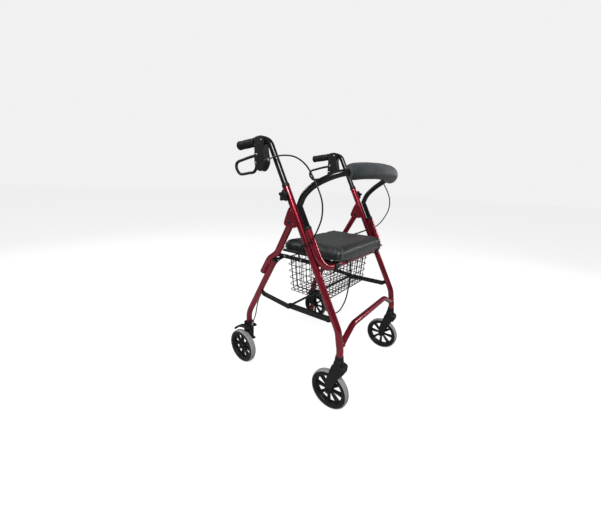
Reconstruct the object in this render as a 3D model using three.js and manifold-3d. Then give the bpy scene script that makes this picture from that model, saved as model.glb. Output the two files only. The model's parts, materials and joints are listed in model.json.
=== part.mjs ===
// A folding four-wheeled walker (rollator) with a padded seat, a backrest bar and an under-seat
// basket. Millimetres, +Z up, floor at z = 0, travel towards -Y, the user's left towards +X.
import * as THREE from 'three';
import { mergeVertices } from 'three/addons/utils/BufferGeometryUtils.js';
import Module from 'manifold-3d';

const wasm = await Module();
wasm.setup();

// ---------------------------------------------------------------- driving dimensions
const GAP = 0.35;                 // between two pieces that touch in the real object
const LEG_X = 252;                // side planes of the frame
const TUBE_R = 12.7;              // 1 inch frame tube
const TUBE_BORE_R = 11.4;
const INNER_TUBE_R = 11.1;        // handle and backrest tubes, which slide in the frame tube
const INNER_BORE_R = 9.9;

const LEG_ANGLE = THREE.MathUtils.degToRad(28.1);   // front leg, from the vertical
const LEG_BEND = [-213, 317];     // y, z of the bend above the caster
const LEG_LENGTH = 537;           // from the bend to the top of the red tube
const CASTER_Y = -226;
const LEG_FOOT_Z = 217;

const WHEEL_R = 76;               // 6 inch wheels
const WHEEL_WIDTH = 26;
const CASTER_TRAIL = 29;
const REAR_WHEEL = { x: 289, y: 248 };

const FOLD_PIVOT = [8, 668];      // y, z
const REAR_ANGLE = THREE.MathUtils.degToRad(28);    // rear leg, from the vertical
const REAR_BEND = [244, 233];     // y, z of the bend above the rear wheel

const U_OFFSET = 26.4;            // axis of the seat tube, in front of the leg's axis
const U_TOP = 365;                // distances along the leg from its bend
const U_BOTTOM = 215;

const KNOB_AT = 500;              // along the leg
const GRIP_BEND = [124, 948];     // y, z
const GRIP_END = [283, 935];
const HANDLE_INSET = 210;         // handle tube inside the leg

const SEAT = { x: 200, front: -172, back: 112, skirtZ: 533.2, lipZ: 509, boardZ: 533, padZ: 539.5, topZ: 582 };
const BRACE_Z = { front: 357, rear: 363 };          // where the brace tabs meet the legs
const BRACE_JOINT = [11, 338];    // y, z of the brace's middle hinge
const BRACE_EYE = 26.2;           // from a leg's axis to the hinge of a brace
const FRONT_LINK_X = [246, 250.8];
const REAR_LINK_X = [252.2, 257];

const BASKET = {
  top: { x: 180, front: -112, back: 94, z: 508 },
  bottom: { x: 172, front: -105, back: 78, z: 362 },
  wall: 3,
};
const CABLE_R = 2.5;
const SLEEVE_R = 3.5;             // the slack far-side cable, in its sleeve
const CENTRE_Y = 25.5;            // middle of the length from the front tyres to the rear tyres

// ---------------------------------------------------------------- materials
const finish = (color, roughness, metalness) =>
  new THREE.MeshStandardMaterial({ color, roughness, metalness });
const RED = finish(0x8e1f33, 0.32, 0.6);
const BLACK_TUBE = finish(0x17181a, 0.4, 0.5);
const BLACK_STEEL = finish(0x141416, 0.5, 0.4);
const MOULDED = finish(0x1b1c1e, 0.62, 0);
const RUBBER_GRIP = finish(0x202124, 0.85, 0);
const GREY_TYRE = finish(0x8d8e90, 0.8, 0);
const RIM = finish(0x121214, 0.55, 0);
const ZINC = finish(0xb5b7ba, 0.35, 0.9);
const VINYL = finish(0x232628, 0.55, 0);
const FOAM = finish(0x39424a, 0.9, 0);
const CABLE = finish(0x111112, 0.55, 0);

// ---------------------------------------------------------------- solids
function solid(geometry) {
  const bare = geometry.clone();
  bare.deleteAttribute('normal');
  bare.deleteAttribute('uv');
  const merged = mergeVertices(bare, 1e-4);
  const mesh = new wasm.Mesh({
    numProp: 3,
    vertProperties: new Float32Array(merged.attributes.position.array),
    triVerts: new Uint32Array(merged.index.array),
  });
  mesh.merge();
  return new wasm.Manifold(mesh);
}

function geometryOf(manifold) {
  const mesh = manifold.getMesh();
  const geometry = new THREE.BufferGeometry();
  geometry.setAttribute('position', new THREE.BufferAttribute(mesh.vertProperties, 3));
  geometry.setIndex(new THREE.BufferAttribute(mesh.triVerts, 1));
  geometry.computeVertexNormals();
  return geometry;
}

const join = (...geometries) => geometryOf(geometries.map(solid).reduce((a, b) => a.add(b)));
const cut = (geometry, ...tools) =>
  geometryOf(tools.map(solid).reduce((rest, tool) => rest.subtract(tool), solid(geometry)));

// The same geometry on the other side of the plane x = 0, with its faces still pointing out.
function mirrored(geometry) {
  const copy = geometry.index ? geometry.clone() : mergeVertices(geometry.clone());
  copy.scale(-1, 1, 1);
  const index = copy.index.array;
  for (let i = 0; i < index.length; i += 3) {
    [index[i], index[i + 1]] = [index[i + 1], index[i]];
  }
  copy.computeVertexNormals();
  return copy;
}

// ---------------------------------------------------------------- paths and tubes
const at = (x, [y, z]) => new THREE.Vector3(x, y, z);
const along = ([y, z], angle, s, offset = 0) => [
  y + s * Math.sin(angle) - offset * Math.cos(angle),
  z + s * Math.cos(angle) + offset * Math.sin(angle),
];
// A point on the front leg's axis; a positive offset is towards the front.
const onLeg = (s, offset = 0) => along(LEG_BEND, LEG_ANGLE, s, offset);
// A point down the rear leg from the fold pivot; a positive offset is towards the back.
const onRear = (s, offset = 0) => [
  FOLD_PIVOT[0] + s * Math.sin(REAR_ANGLE) + offset * Math.cos(REAR_ANGLE),
  FOLD_PIVOT[1] - s * Math.cos(REAR_ANGLE) + offset * Math.sin(REAR_ANGLE),
];

// The corners of a bent tube with each inner corner rounded to a radius.
function rounded(corners, radius, stepDeg = 20) {
  const points = [corners[0]];
  for (let i = 1; i < corners.length - 1; i += 1) {
    const inward = corners[i].clone().sub(corners[i - 1]).normalize();
    const outward = corners[i + 1].clone().sub(corners[i]).normalize();
    const turn = inward.angleTo(outward);
    const r = Array.isArray(radius) ? radius[i - 1] : radius;
    const side = outward.clone().addScaledVector(inward, -Math.cos(turn)).normalize();
    const start = corners[i].clone().addScaledVector(inward, -r * Math.tan(turn / 2));
    const centre = start.clone().addScaledVector(side, r);
    const steps = Math.max(2, Math.ceil(THREE.MathUtils.radToDeg(turn) / stepDeg));
    for (let k = 0; k <= steps; k += 1) {
      const a = (turn * k) / steps;
      points.push(
        centre.clone().addScaledVector(side, -r * Math.cos(a)).addScaledVector(inward, r * Math.sin(a)),
      );
    }
  }
  points.push(corners[corners.length - 1]);
  return points;
}

// A curve through listed points with one extrusion step from each to the next.
class ListedPath extends THREE.Curve {
  constructor(points) {
    super();
    this.points = points;
  }

  getPoint(t) {
    const place = t * (this.points.length - 1);
    const i = Math.min(Math.floor(place), this.points.length - 2);
    return this.points[i].clone().lerp(this.points[i + 1], place - i);
  }

  getPointAt(u) {
    return this.getPoint(u);
  }

  getTangentAt(u) {
    const i = Math.round(u * (this.points.length - 1));
    const tangent = new THREE.Vector3();
    if (i > 0) tangent.add(this.points[i].clone().sub(this.points[i - 1]).normalize());
    if (i < this.points.length - 1) {
      tangent.add(this.points[i + 1].clone().sub(this.points[i]).normalize());
    }
    return tangent.normalize();
  }
}

// A circle as a shape, with a corner count.
function ring(radius, sides) {
  const points = [];
  for (let i = 0; i < sides; i += 1) {
    const a = (2 * Math.PI * i) / sides;
    points.push(new THREE.Vector2(radius * Math.cos(a), radius * Math.sin(a)));
  }
  return points;
}

// The corner radius that puts a many-sided bore or cutter right round a circle.
const around = (radius, sides = 10) => radius / Math.cos(Math.PI / sides);

function rod(points, radius, sides = 10) {
  return new THREE.ExtrudeGeometry(new THREE.Shape(ring(radius, sides)), {
    extrudePath: new ListedPath(points),
    steps: points.length - 1,
    bevelEnabled: false,
  });
}

function tube(points, radius, bore, sides = 10) {
  const shape = new THREE.Shape(ring(radius, sides));
  shape.holes.push(new THREE.Path(ring(around(bore, sides), sides).reverse()));
  return new THREE.ExtrudeGeometry(shape, {
    extrudePath: new ListedPath(points),
    steps: points.length - 1,
    bevelEnabled: false,
  });
}

// A path that runs past both ends, for a bore that goes right through.
function longer(points, extra = 2) {
  const copy = points.map((p) => p.clone());
  const last = copy.length - 1;
  const head = copy[0].clone().sub(copy[1]).setLength(extra);
  const tail = copy[last].clone().sub(copy[last - 1]).setLength(extra);
  copy[0].add(head);
  copy[last].add(tail);
  return copy;
}

// A flat outline in (y, z), as thick as from x0 to x1.
const SIDE_ON = new THREE.Matrix4().makeBasis(
  new THREE.Vector3(0, 1, 0), new THREE.Vector3(0, 0, 1), new THREE.Vector3(1, 0, 0),
);
function plate(outline, [x0, x1], holes = []) {
  const rim = outline.map(([y, z]) => new THREE.Vector2(y, z));
  if (THREE.ShapeUtils.isClockWise(rim)) rim.reverse();
  const shape = new THREE.Shape(rim);
  for (const hole of holes) {
    shape.holes.push(new THREE.Path(hole.map(([y, z]) => new THREE.Vector2(y, z))));
  }
  const geometry = new THREE.ExtrudeGeometry(shape, { depth: x1 - x0, bevelEnabled: false });
  return geometry.applyMatrix4(SIDE_ON).translate(x0, 0, 0);
}

// A turned piece about an axis along X through (y, z): rows of [x, radius] from one end to the
// other, starting and ending on the axis.
function turned(rows, [y, z], sides = 10) {
  const profile = rows.map(([x, r]) => new THREE.Vector2(r, x));
  const geometry = new THREE.LatheGeometry(profile, sides);
  return geometry.rotateZ(-Math.PI / 2).translate(0, y, z);
}

const pin = (x0, x1, radius, centre, sides = 10) =>
  turned([[x0, 0], [x0, radius], [x1, radius], [x1, 0]], centre, sides);
const block = ([x0, x1], [y0, y1], [z0, z1]) =>
  new THREE.BoxGeometry(x1 - x0, y1 - y0, z1 - z0)
    .translate((x0 + x1) / 2, (y0 + y1) / 2, (z0 + z1) / 2);

// A link bar between two eyes.
function barOutline([y0, z0], [y1, z1], radius, steps = 5) {
  const heading = Math.atan2(z1 - z0, y1 - y0);
  const outline = [];
  for (let i = 0; i <= steps; i += 1) {
    const a = heading + Math.PI / 2 + (Math.PI * i) / steps;
    outline.push([y0 + radius * Math.cos(a), z0 + radius * Math.sin(a)]);
  }
  for (let i = 0; i <= steps; i += 1) {
    const a = heading - Math.PI / 2 + (Math.PI * i) / steps;
    outline.push([y1 + radius * Math.cos(a), z1 + radius * Math.sin(a)]);
  }
  return outline;
}

// ---------------------------------------------------------------- the object
const walker = new THREE.Group();

function add(name, geometry, material, position = [0, 0, 0]) {
  const mesh = new THREE.Mesh(geometry, material);
  mesh.name = name;
  mesh.position.set(...position);
  walker.add(mesh);
}

// The left piece as drawn, and the right piece as its mirror image.
function addPair(name, geometry, material, [x, y, z] = [0, 0, 0]) {
  add(`${name}_left`, geometry, material, [x, y, z]);
  add(`${name}_right`, mirrored(geometry), material, [-x, y, z]);
}

// ---- front legs, with their brace tabs and rivets
const frontLegPath = rounded(
  [
    at(LEG_X, [CASTER_Y, LEG_FOOT_Z]), at(LEG_X, [CASTER_Y, 246]),
    at(LEG_X, LEG_BEND), at(LEG_X, onLeg(LEG_LENGTH)),
  ],
  [70, 90],
);
const legCutter = rod(longer(frontLegPath), around(TUBE_R + GAP));

const frontBraceS = (BRACE_Z.front - LEG_BEND[1]) / Math.cos(LEG_ANGLE);
const frontBracePivot = onLeg(frontBraceS, -BRACE_EYE);
const TAB_T = 3;
const RIVET_R = 3;
const HEAD_R = 5.5;

function braceTab(legPoint, pivot, [x0, x1]) {
  return plate(barOutline(legPoint, pivot, 9), [x0, x1]);
}

const frontTabX = [FRONT_LINK_X[1] + GAP, FRONT_LINK_X[1] + GAP + TAB_T];
const frontRivet = turned(
  [
    [FRONT_LINK_X[0] - 2.8, 0], [FRONT_LINK_X[0] - 2.6, HEAD_R - 2], [FRONT_LINK_X[0] - GAP, HEAD_R],
    [FRONT_LINK_X[0] - GAP, RIVET_R], [frontTabX[0] + 1, RIVET_R], [frontTabX[0] + 1, 0],
  ],
  frontBracePivot,
  10,
);
const frontLeg = cut(
  join(rod(frontLegPath, TUBE_R), braceTab(onLeg(frontBraceS), frontBracePivot, frontTabX), frontRivet),
  rod(longer(frontLegPath), around(TUBE_BORE_R)),
  pin(LEG_X, LEG_X + 2 * TUBE_R, 4.4, onLeg(KNOB_AT)),
);
addPair('front_leg', frontLeg, RED);

// ---- cross tubes of the front frame
const CROSSBAR_R = 11;
const crossbarSide = [[LEG_X, -224, 258], [154, -219, 309]];
const crossbarPath = rounded(
  [
    new THREE.Vector3(...crossbarSide[0]), new THREE.Vector3(...crossbarSide[1]),
    new THREE.Vector3(-154, -219, 309), new THREE.Vector3(-LEG_X, -224, 258),
  ],
  70,
);
add(
  'lower_crossbar',
  cut(rod(crossbarPath, CROSSBAR_R), legCutter, mirrored(legCutter)),
  RED,
);

const U_BEND_R = 50;
const uTop = onLeg(U_TOP, U_OFFSET);
const uCorner = onLeg(U_BOTTOM, U_OFFSET);
const uPath = rounded(
  [at(LEG_X, uTop), at(LEG_X, uCorner), at(-LEG_X, uCorner), at(-LEG_X, uTop)],
  U_BEND_R,
);
add('seat_u_tube', tube(uPath, TUBE_R, TUBE_BORE_R), RED);

// ---- hinge bracket: a folded channel behind the leg, and the pin the rear leg swings on
const BRACKET_IN = TUBE_R + GAP;
const BRACKET_T = 2.5;
const bracketBody = plate(
  [[2, 722], [13, 716], [33, 665], [31, 656], [22, 650], [-12, 648], [-33, 655], [-24, 674]],
  [LEG_X - BRACKET_IN - BRACKET_T, LEG_X + BRACKET_IN + BRACKET_T],
);
const bracketSlot = plate(
  [[-60, 735], [-2, 735], [9.5, 715], [29.5, 665], [29, 630], [-60, 630]],
  [LEG_X - BRACKET_IN, LEG_X + BRACKET_IN],
);
const foldHole = pin(LEG_X - 30, LEG_X + 30, RIVET_R + 0.3, FOLD_PIVOT);
addPair('hinge_bracket', cut(bracketBody, bracketSlot, legCutter, foldHole), RED);

const pinFace = BRACKET_IN + BRACKET_T + GAP;
const foldPin = turned(
  [
    [LEG_X - pinFace - 3.2, 0], [LEG_X - pinFace - 3, 4], [LEG_X - pinFace, 6.5], [LEG_X - pinFace, RIVET_R],
    [LEG_X + pinFace, RIVET_R], [LEG_X + pinFace, 6.5], [LEG_X + pinFace + 3, 4], [LEG_X + pinFace + 3.2, 0],
  ],
  FOLD_PIVOT,
  10,
);
addPair('fold_pin', foldPin, ZINC);

// ---- caster stem, fork, axle
const upright = (rows, sides = 14) =>
  new THREE.LatheGeometry(rows.map(([z, r]) => new THREE.Vector2(r, z)), sides).rotateX(Math.PI / 2);
const STEM_R = 5;
const CROWN_TOP = LEG_FOOT_Z - 4;
const stem = upright([
  [176, 0], [176, STEM_R], [CROWN_TOP, STEM_R], [CROWN_TOP + GAP, 14], [LEG_FOOT_Z - GAP, 14],
  [LEG_FOOT_Z - GAP, TUBE_BORE_R - 1], [LEG_FOOT_Z + 20, TUBE_BORE_R - 1], [LEG_FOOT_Z + 20, 0],
]);
addPair('caster_stem', stem, ZINC, [LEG_X, CASTER_Y, 0]);

// The fork is drawn about the stem's axis: y = 0 is the stem, the wheel trails at +y.
const FORK_IN = 15.5;
const FORK_OUT = 20;
const crown = upright([
  [157, 0], [157, 17], [166, 20], [196, 20], [206, 17.5], [CROWN_TOP - GAP, 16], [CROWN_TOP - GAP, 0],
]);
const bladeOutline = [
  [-22, 196], [-27, 186], [-20, 168], [-6, 140], [8, 104],
  ...[150, 190, 230, 270, 310, 350, 30].map((deg) => {
    const a = THREE.MathUtils.degToRad(deg);
    return [CASTER_TRAIL + 12 * Math.cos(a), WHEEL_R + 12 * Math.sin(a)];
  }),
  [40, 110], [34, 140], [24, 168], [18, 196],
];
const blades = plate(bladeOutline, [-FORK_OUT, FORK_OUT]);
const wheelRoom = block([-FORK_IN, FORK_IN], [-60, 60], [40, 157]);
const forkWheelRoom = turned(
  [[-FORK_IN, 0], [-FORK_IN, WHEEL_R + 4], [FORK_IN, WHEEL_R + 4], [FORK_IN, 0]],
  [CASTER_TRAIL, WHEEL_R],
  32,
);
const AXLE_R = 4;
const fork = cut(
  join(blades, crown),
  wheelRoom,
  forkWheelRoom,
  upright([[150, 0], [150, STEM_R + 0.4], [230, STEM_R + 0.4], [230, 0]], 16),
  pin(-30, 30, AXLE_R + 0.3, [CASTER_TRAIL, WHEEL_R]),
);
addPair('caster_fork', fork, MOULDED, [LEG_X, CASTER_Y, 0]);

function axle(inner, outer, headR, [y, z]) {
  return turned(
    [
      [inner - 4, 0], [inner - 3.6, headR - 1.5], [inner - GAP, headR], [inner - GAP, AXLE_R],
      [outer + GAP, AXLE_R], [outer + GAP, headR], [outer + 3.2, headR - 1.5], [outer + 3.5, 0],
    ],
    [y, z],
    10,
  );
}
addPair(
  'front_axle',
  axle(-FORK_OUT, FORK_OUT, 7, [CASTER_TRAIL, WHEEL_R]),
  ZINC,
  [LEG_X, CASTER_Y, 0],
);

// ---- wheels: a grey tyre on a black eight-holed rim, drawn about the wheel's centre
const WHEEL_SIDES = 20;             // with a flat of the tread on the floor
const HALF = WHEEL_WIDTH / 2;
const RIM_R = 67.5;
const FLANGE_R = 70.4;
const onItsFlat = (geometry) => geometry.rotateX(Math.PI / WHEEL_SIDES);
const TREAD_R = around(WHEEL_R, WHEEL_SIDES);
const tyre = onItsFlat(turned(
  [
    [-8.1, RIM_R + GAP], [-8.6, FLANGE_R + GAP], [-HALF, FLANGE_R + GAP], [-HALF, 73], [-8.5, TREAD_R],
    [8.5, TREAD_R], [HALF, 73], [HALF, FLANGE_R + GAP], [8.6, FLANGE_R + GAP], [8.1, RIM_R + GAP],
    [-8.1, RIM_R + GAP],
  ],
  [0, 0],
  WHEEL_SIDES,
));
const SPOKES = 8;
const rimDisc = onItsFlat(turned(
  [
    [-13.5, 0], [-13.5, 13], [-6, 16], [-6, 55], [-12.4, 60], [-12.4, FLANGE_R], [-9, FLANGE_R],
    [-8.5, RIM_R], [8.5, RIM_R], [9, FLANGE_R], [12.4, FLANGE_R], [12.4, 60], [6, 55], [6, 16],
    [13.5, 13], [13.5, 0],
  ],
  [0, 0],
  WHEEL_SIDES,
));
function spokeHole(turnDeg) {
  const outline = [];
  for (const [radius, halfDeg] of [[23, 8], [53, 16]]) {
    const signs = radius < 30 ? [-1, 1] : [1, -1];
    for (const sign of signs) {
      const a = THREE.MathUtils.degToRad(turnDeg + sign * halfDeg);
      outline.push([radius * Math.cos(a), radius * Math.sin(a)]);
    }
  }
  return plate(outline, [-20, 20]);
}
const spokeHoles = Array.from({ length: SPOKES }, (_, i) => spokeHole(((i + 0.5) * 360) / SPOKES));
const rim = cut(rimDisc, ...spokeHoles, pin(-20, 20, AXLE_R + 0.3, [0, 0]));
const frontWheel = [LEG_X, CASTER_Y + CASTER_TRAIL, WHEEL_R];
const rearWheel = [REAR_WHEEL.x, REAR_WHEEL.y, WHEEL_R];
addPair('front_rim', rim, RIM, frontWheel);
addPair('front_tyre', tyre, GREY_TYRE, frontWheel);
addPair('rear_rim', rim, RIM, rearWheel);
addPair('rear_tyre', tyre, GREY_TYRE, rearWheel);

// ---- rear legs: an upper tube that swings on the fold pin, and a lower tube beside its end
const upperPath = rounded(
  [
    at(LEG_X, onRear(-7)), at(LEG_X, onRear(146)), at(LEG_X, onRear(192, 22)), at(LEG_X, onRear(262, 24.8)),
  ],
  60,
);
const STUD_AT = onRear(174, -4);
const seatStud = pin(204, LEG_X, 5, STUD_AT);
const rearUpper = cut(
  join(rod(upperPath, TUBE_R), seatStud),
  rod(longer(upperPath), around(TUBE_BORE_R)),
  foldHole,
);
addPair('rear_leg_upper', rearUpper, RED);

const REAR_FOOT = [REAR_WHEEL.y, 58];
const lowerPath = rounded(
  [at(LEG_X, onRear(178, -3)), at(LEG_X, REAR_BEND), at(LEG_X, REAR_FOOT)],
  90,
);
const rearSlope = (z) => {
  const [topY, topZ] = onRear(178, -3);
  return topY + ((topZ - z) * (REAR_BEND[0] - topY)) / (topZ - REAR_BEND[1]);
};
const rearBraceLeg = [rearSlope(BRACE_Z.rear), BRACE_Z.rear];
const rearBracePivot = [
  rearBraceLeg[0] - BRACE_EYE * Math.cos(REAR_ANGLE),
  rearBraceLeg[1] - BRACE_EYE * Math.sin(REAR_ANGLE),
];
const rearTabX = [REAR_LINK_X[0] - GAP - TAB_T, REAR_LINK_X[0] - GAP];
const rearRivet = turned(
  [
    [rearTabX[1] - 1, 0], [rearTabX[1] - 1, RIVET_R], [REAR_LINK_X[1] + GAP, RIVET_R],
    [REAR_LINK_X[1] + GAP, HEAD_R], [REAR_LINK_X[1] + 2.6, HEAD_R - 2], [REAR_LINK_X[1] + 2.8, 0],
  ],
  rearBracePivot,
  10,
);
const rearLower = cut(
  join(rod(lowerPath, TUBE_R), braceTab(rearBraceLeg, rearBracePivot, rearTabX), rearRivet),
  rod(longer(lowerPath), around(TUBE_BORE_R)),
  rod(upperPath, around(TUBE_R + GAP)),
  pin(204, LEG_X, around(5 + GAP), STUD_AT),
  pin(LEG_X - 30, LEG_X + 30, AXLE_R + 0.3, [REAR_WHEEL.y, WHEEL_R]),
);
addPair('rear_leg_lower', rearLower, RED);

const rearAxle = turned(
  [
    [LEG_X - TUBE_R - 5, 0], [LEG_X - TUBE_R - 4.6, 5.5], [LEG_X - TUBE_R - GAP, 7],
    [LEG_X - TUBE_R - GAP, AXLE_R], [LEG_X + TUBE_R + GAP, AXLE_R], [LEG_X + TUBE_R + GAP, 8],
    [REAR_WHEEL.x - 13.5 - GAP, 8], [REAR_WHEEL.x - 13.5 - GAP, AXLE_R],
    [REAR_WHEEL.x + 13.5 + GAP, AXLE_R], [REAR_WHEEL.x + 13.5 + GAP, 7],
    [REAR_WHEEL.x + 18, 5.5], [REAR_WHEEL.x + 18.4, 0],
  ],
  [REAR_WHEEL.y, WHEEL_R],
  10,
);
addPair('rear_axle', rearAxle, ZINC);

// ---- rear brake: a moulded block on the leg and an arm that swings down on the tyre
const ARM_PIVOT = [225, 173];
const brakeEar = (outline, span) => plate(outline, [LEG_X + span[0], LEG_X + span[1]]);
const brakeBlock = cut(
  join(
    brakeEar([[231, 190], [265, 190], [265, 97], [231, 97]], [-15.5, 15]),
    brakeEar([[216, 181], [236, 187], [236, 158], [218, 162]], [4, 15]),
    brakeEar([[203, 181], [236, 186], [236, 172], [205, 172]], [-9, 1]),
    brakeEar([[208, 117], [236, 122], [236, 106], [208, 109]], [-5, 5]),
  ),
  rod(lowerPath, around(TUBE_R + GAP)),
  pin(LEG_X + 4, LEG_X + 30, 4.4, ARM_PIVOT),
);
addPair('brake_block', brakeBlock, MOULDED);

const armOuter = [];
const armInner = [];
const ARM_STEPS = 7;
for (let i = 0; i <= ARM_STEPS; i += 1) {
  const share = i / ARM_STEPS;
  const a = THREE.MathUtils.degToRad(108 - 58 * share);
  const inner = 97 - 16.5 * share;
  armInner.push([REAR_WHEEL.y + inner * Math.cos(a), WHEEL_R + inner * Math.sin(a)]);
  armOuter.push([REAR_WHEEL.y + (inner + 9) * Math.cos(a), WHEEL_R + (inner + 9) * Math.sin(a)]);
}
const armBar = plate([...armInner, ...armOuter.reverse()], [REAR_WHEEL.x - 19.5, REAR_WHEEL.x + 4]);
const armBoss = pin(LEG_X + 15 + GAP, REAR_WHEEL.x + 6, 8, ARM_PIVOT, 16);
const armLug = plate(barOutline(ARM_PIVOT, [205, 179], 5, 3), [LEG_X + 15 + GAP, LEG_X + 22]);
const armPin = pin(LEG_X + 6, LEG_X + 17, 4, ARM_PIVOT);
addPair('brake_arm', join(armBar, armBoss, armLug, armPin), BLACK_STEEL);

// ---- folding braces: two links a side, and the rod that joins the middle hinges
const linkHole = (x, pivot) => pin(x[0] - 5, x[1] + 5, RIVET_R + 0.3, pivot);
const frontLink = cut(
  plate(barOutline(frontBracePivot, BRACE_JOINT, 9), FRONT_LINK_X),
  linkHole(FRONT_LINK_X, frontBracePivot),
);
addPair('front_link', frontLink, BLACK_STEEL);
const rearLink = cut(
  plate(barOutline(rearBracePivot, BRACE_JOINT, 9), REAR_LINK_X),
  linkHole(REAR_LINK_X, rearBracePivot),
);
addPair('rear_link', rearLink, BLACK_STEEL);
add('brace_rod', pin(-FRONT_LINK_X[0] + GAP, FRONT_LINK_X[0] - GAP, 4.5, BRACE_JOINT), BLACK_STEEL);

// ---- handles: the sliding tube, its grip, and the moulded brake housing with its lever
const handlePath = rounded(
  [at(LEG_X, onLeg(LEG_LENGTH - HANDLE_INSET)), at(LEG_X, GRIP_BEND), at(LEG_X, GRIP_END)],
  38,
);
addPair('handle_tube', tube(handlePath, INNER_TUBE_R, INNER_BORE_R), BLACK_TUBE);

const gripSlope = (GRIP_END[1] - GRIP_BEND[1]) / (GRIP_END[0] - GRIP_BEND[0]);
const onGrip = (y) => [y, GRIP_BEND[1] + (y - GRIP_BEND[0]) * gripSlope];
const gripPath = [at(LEG_X, onGrip(193)), at(LEG_X, onGrip(262)), at(LEG_X, onGrip(GRIP_END[0] + 4))];
const gripBody = rod(gripPath, 16.5);
const gripBore = rod(
  [at(LEG_X, onGrip(185)), at(LEG_X, onGrip(GRIP_END[0] + 0.5))],
  around(INNER_TUBE_R + GAP),
);
addPair('grip', cut(gripBody, gripBore), RUBBER_GRIP);

const LEVER_PIVOT = [174, 898];
const NOZZLE_X = LEG_X + 10;        // where the cable leaves the housing, clear of the handle tube
const housing = cut(
  join(
    plate(
      [
        [146, 962], [186, 959], [190, 944], [187, 920], [188, 878], [184, 856], [172, 842], [156, 838],
        [140, 848], [130, 866], [130, 884], [138, 912], [140, 946],
      ],
      [LEG_X - 14.5, LEG_X + 14.5],
    ),
    rod([at(NOZZLE_X, [134, 874]), at(NOZZLE_X, [114, 879])], 5),
  ),
  rod(handlePath, around(INNER_TUBE_R + GAP)),
  block([LEG_X - 6.5, LEG_X + 6.5], [150, 200], [800, 918]),
);
const leverPin = pin(LEG_X - 13, LEG_X + 13, 2.5, LEVER_PIVOT);
addPair('brake_housing', join(housing, leverPin), MOULDED);

const leverOuter = [
  [166, 902], [172, 907], [240, 894], [302, 880], [312, 872], [314, 852], [306, 838], [288, 824],
  [204, 831], [192, 840], [184, 862], [172, 890],
];
const leverInner = [
  [188, 892], [238, 884], [298, 871], [304, 864], [304, 853], [299, 845], [284, 834],
  [208, 840], [200, 847], [192, 866],
];
const lever = cut(
  plate(leverOuter, [LEG_X - 5.5, LEG_X + 5.5], [leverInner]),
  pin(LEG_X - 20, LEG_X + 20, 2.8, LEVER_PIVOT),
);
addPair('brake_lever', lever, MOULDED);

// ---- height knob: a five-lobed star on a bolt that reaches the handle tube
const KNOB_R = 21;
function starOutline([y, z]) {
  const outline = [];
  const LOBES = 5;
  const STEPS = 20;
  for (let i = 0; i < STEPS; i += 1) {
    const a = (2 * Math.PI * i) / STEPS;
    const r = KNOB_R - 3.5 + 3.5 * Math.cos(LOBES * a);
    outline.push([y + r * Math.sin(a), z + r * Math.cos(a)]);
  }
  return outline;
}
const knobCentre = onLeg(KNOB_AT);
const knobBoltTip = LEG_X + INNER_TUBE_R + GAP;
const knob = join(
  plate(starOutline(knobCentre), [LEG_X + 22, LEG_X + 36]),
  turned(
    [
      [knobBoltTip, 0], [knobBoltTip, 4], [LEG_X + TUBE_R + GAP, 4], [LEG_X + TUBE_R + GAP, 8.5],
      [LEG_X + 23, 10], [LEG_X + 23, 0],
    ],
    knobCentre,
    10,
  ),
);
addPair('height_knob', knob, MOULDED);

// ---- backrest: a black bar plugged into the seat tube, with a foam pad along its middle
const backHalf = [
  [LEG_X, ...onLeg(U_TOP - 90, U_OFFSET)], [LEG_X, ...onLeg(U_TOP + 85, U_OFFSET)],
  [250, -41, 762], [244, -74, 794], [229, -111, 817], [203, -147, 834], [160, -177, 844], [85, -200, 850],
];
const backHalfPoints = backHalf.map((p) => new THREE.Vector3(...p));
const backPath = [
  ...backHalfPoints,
  new THREE.Vector3(0, -208, 852),
  ...backHalfPoints.slice().reverse().map((p) => new THREE.Vector3(-p.x, p.y, p.z)),
];
add('backrest_bar', tube(backPath, INNER_TUBE_R, INNER_BORE_R), BLACK_TUBE);
const PAD_R = 27;
const padPath = backPath.filter((p) => Math.abs(p.x) < 182);
add('backrest_pad', tube(padPath, PAD_R, INNER_TUBE_R + 0.8), FOAM);

// ---- seat: board, pad, and two rails that wrap the seat tube and rest on the rear studs
add(
  'seat_board',
  block([-SEAT.x + 8, SEAT.x - 8], [-114, SEAT.back - 8], [SEAT.boardZ, SEAT.padZ - GAP]),
  MOULDED,
);
function roundedRect(x, y0, y1, r) {
  const shape = new THREE.Shape();
  shape.moveTo(-x + r, y0);
  shape.lineTo(x - r, y0);
  shape.absarc(x - r, y0 + r, r, -Math.PI / 2, 0);
  shape.lineTo(x, y1 - r);
  shape.absarc(x - r, y1 - r, r, 0, Math.PI / 2);
  shape.lineTo(-x + r, y1);
  shape.absarc(-x + r, y1 - r, r, Math.PI / 2, Math.PI);
  shape.lineTo(-x, y0 + r);
  shape.absarc(-x + r, y0 + r, r, Math.PI, 1.5 * Math.PI);
  return shape;
}
const PAD_BEVEL = 10;
const padShape = roundedRect(SEAT.x - PAD_BEVEL, SEAT.front + PAD_BEVEL, SEAT.back - PAD_BEVEL, 30);
const padBlock = new THREE.ExtrudeGeometry(padShape, {
  depth: SEAT.topZ - SEAT.skirtZ - 2 * PAD_BEVEL,
  bevelEnabled: true,
  bevelThickness: PAD_BEVEL,
  bevelSize: PAD_BEVEL,
  bevelSegments: 2,
  curveSegments: 5,
}).translate(0, 0, SEAT.skirtZ + PAD_BEVEL);
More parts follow.
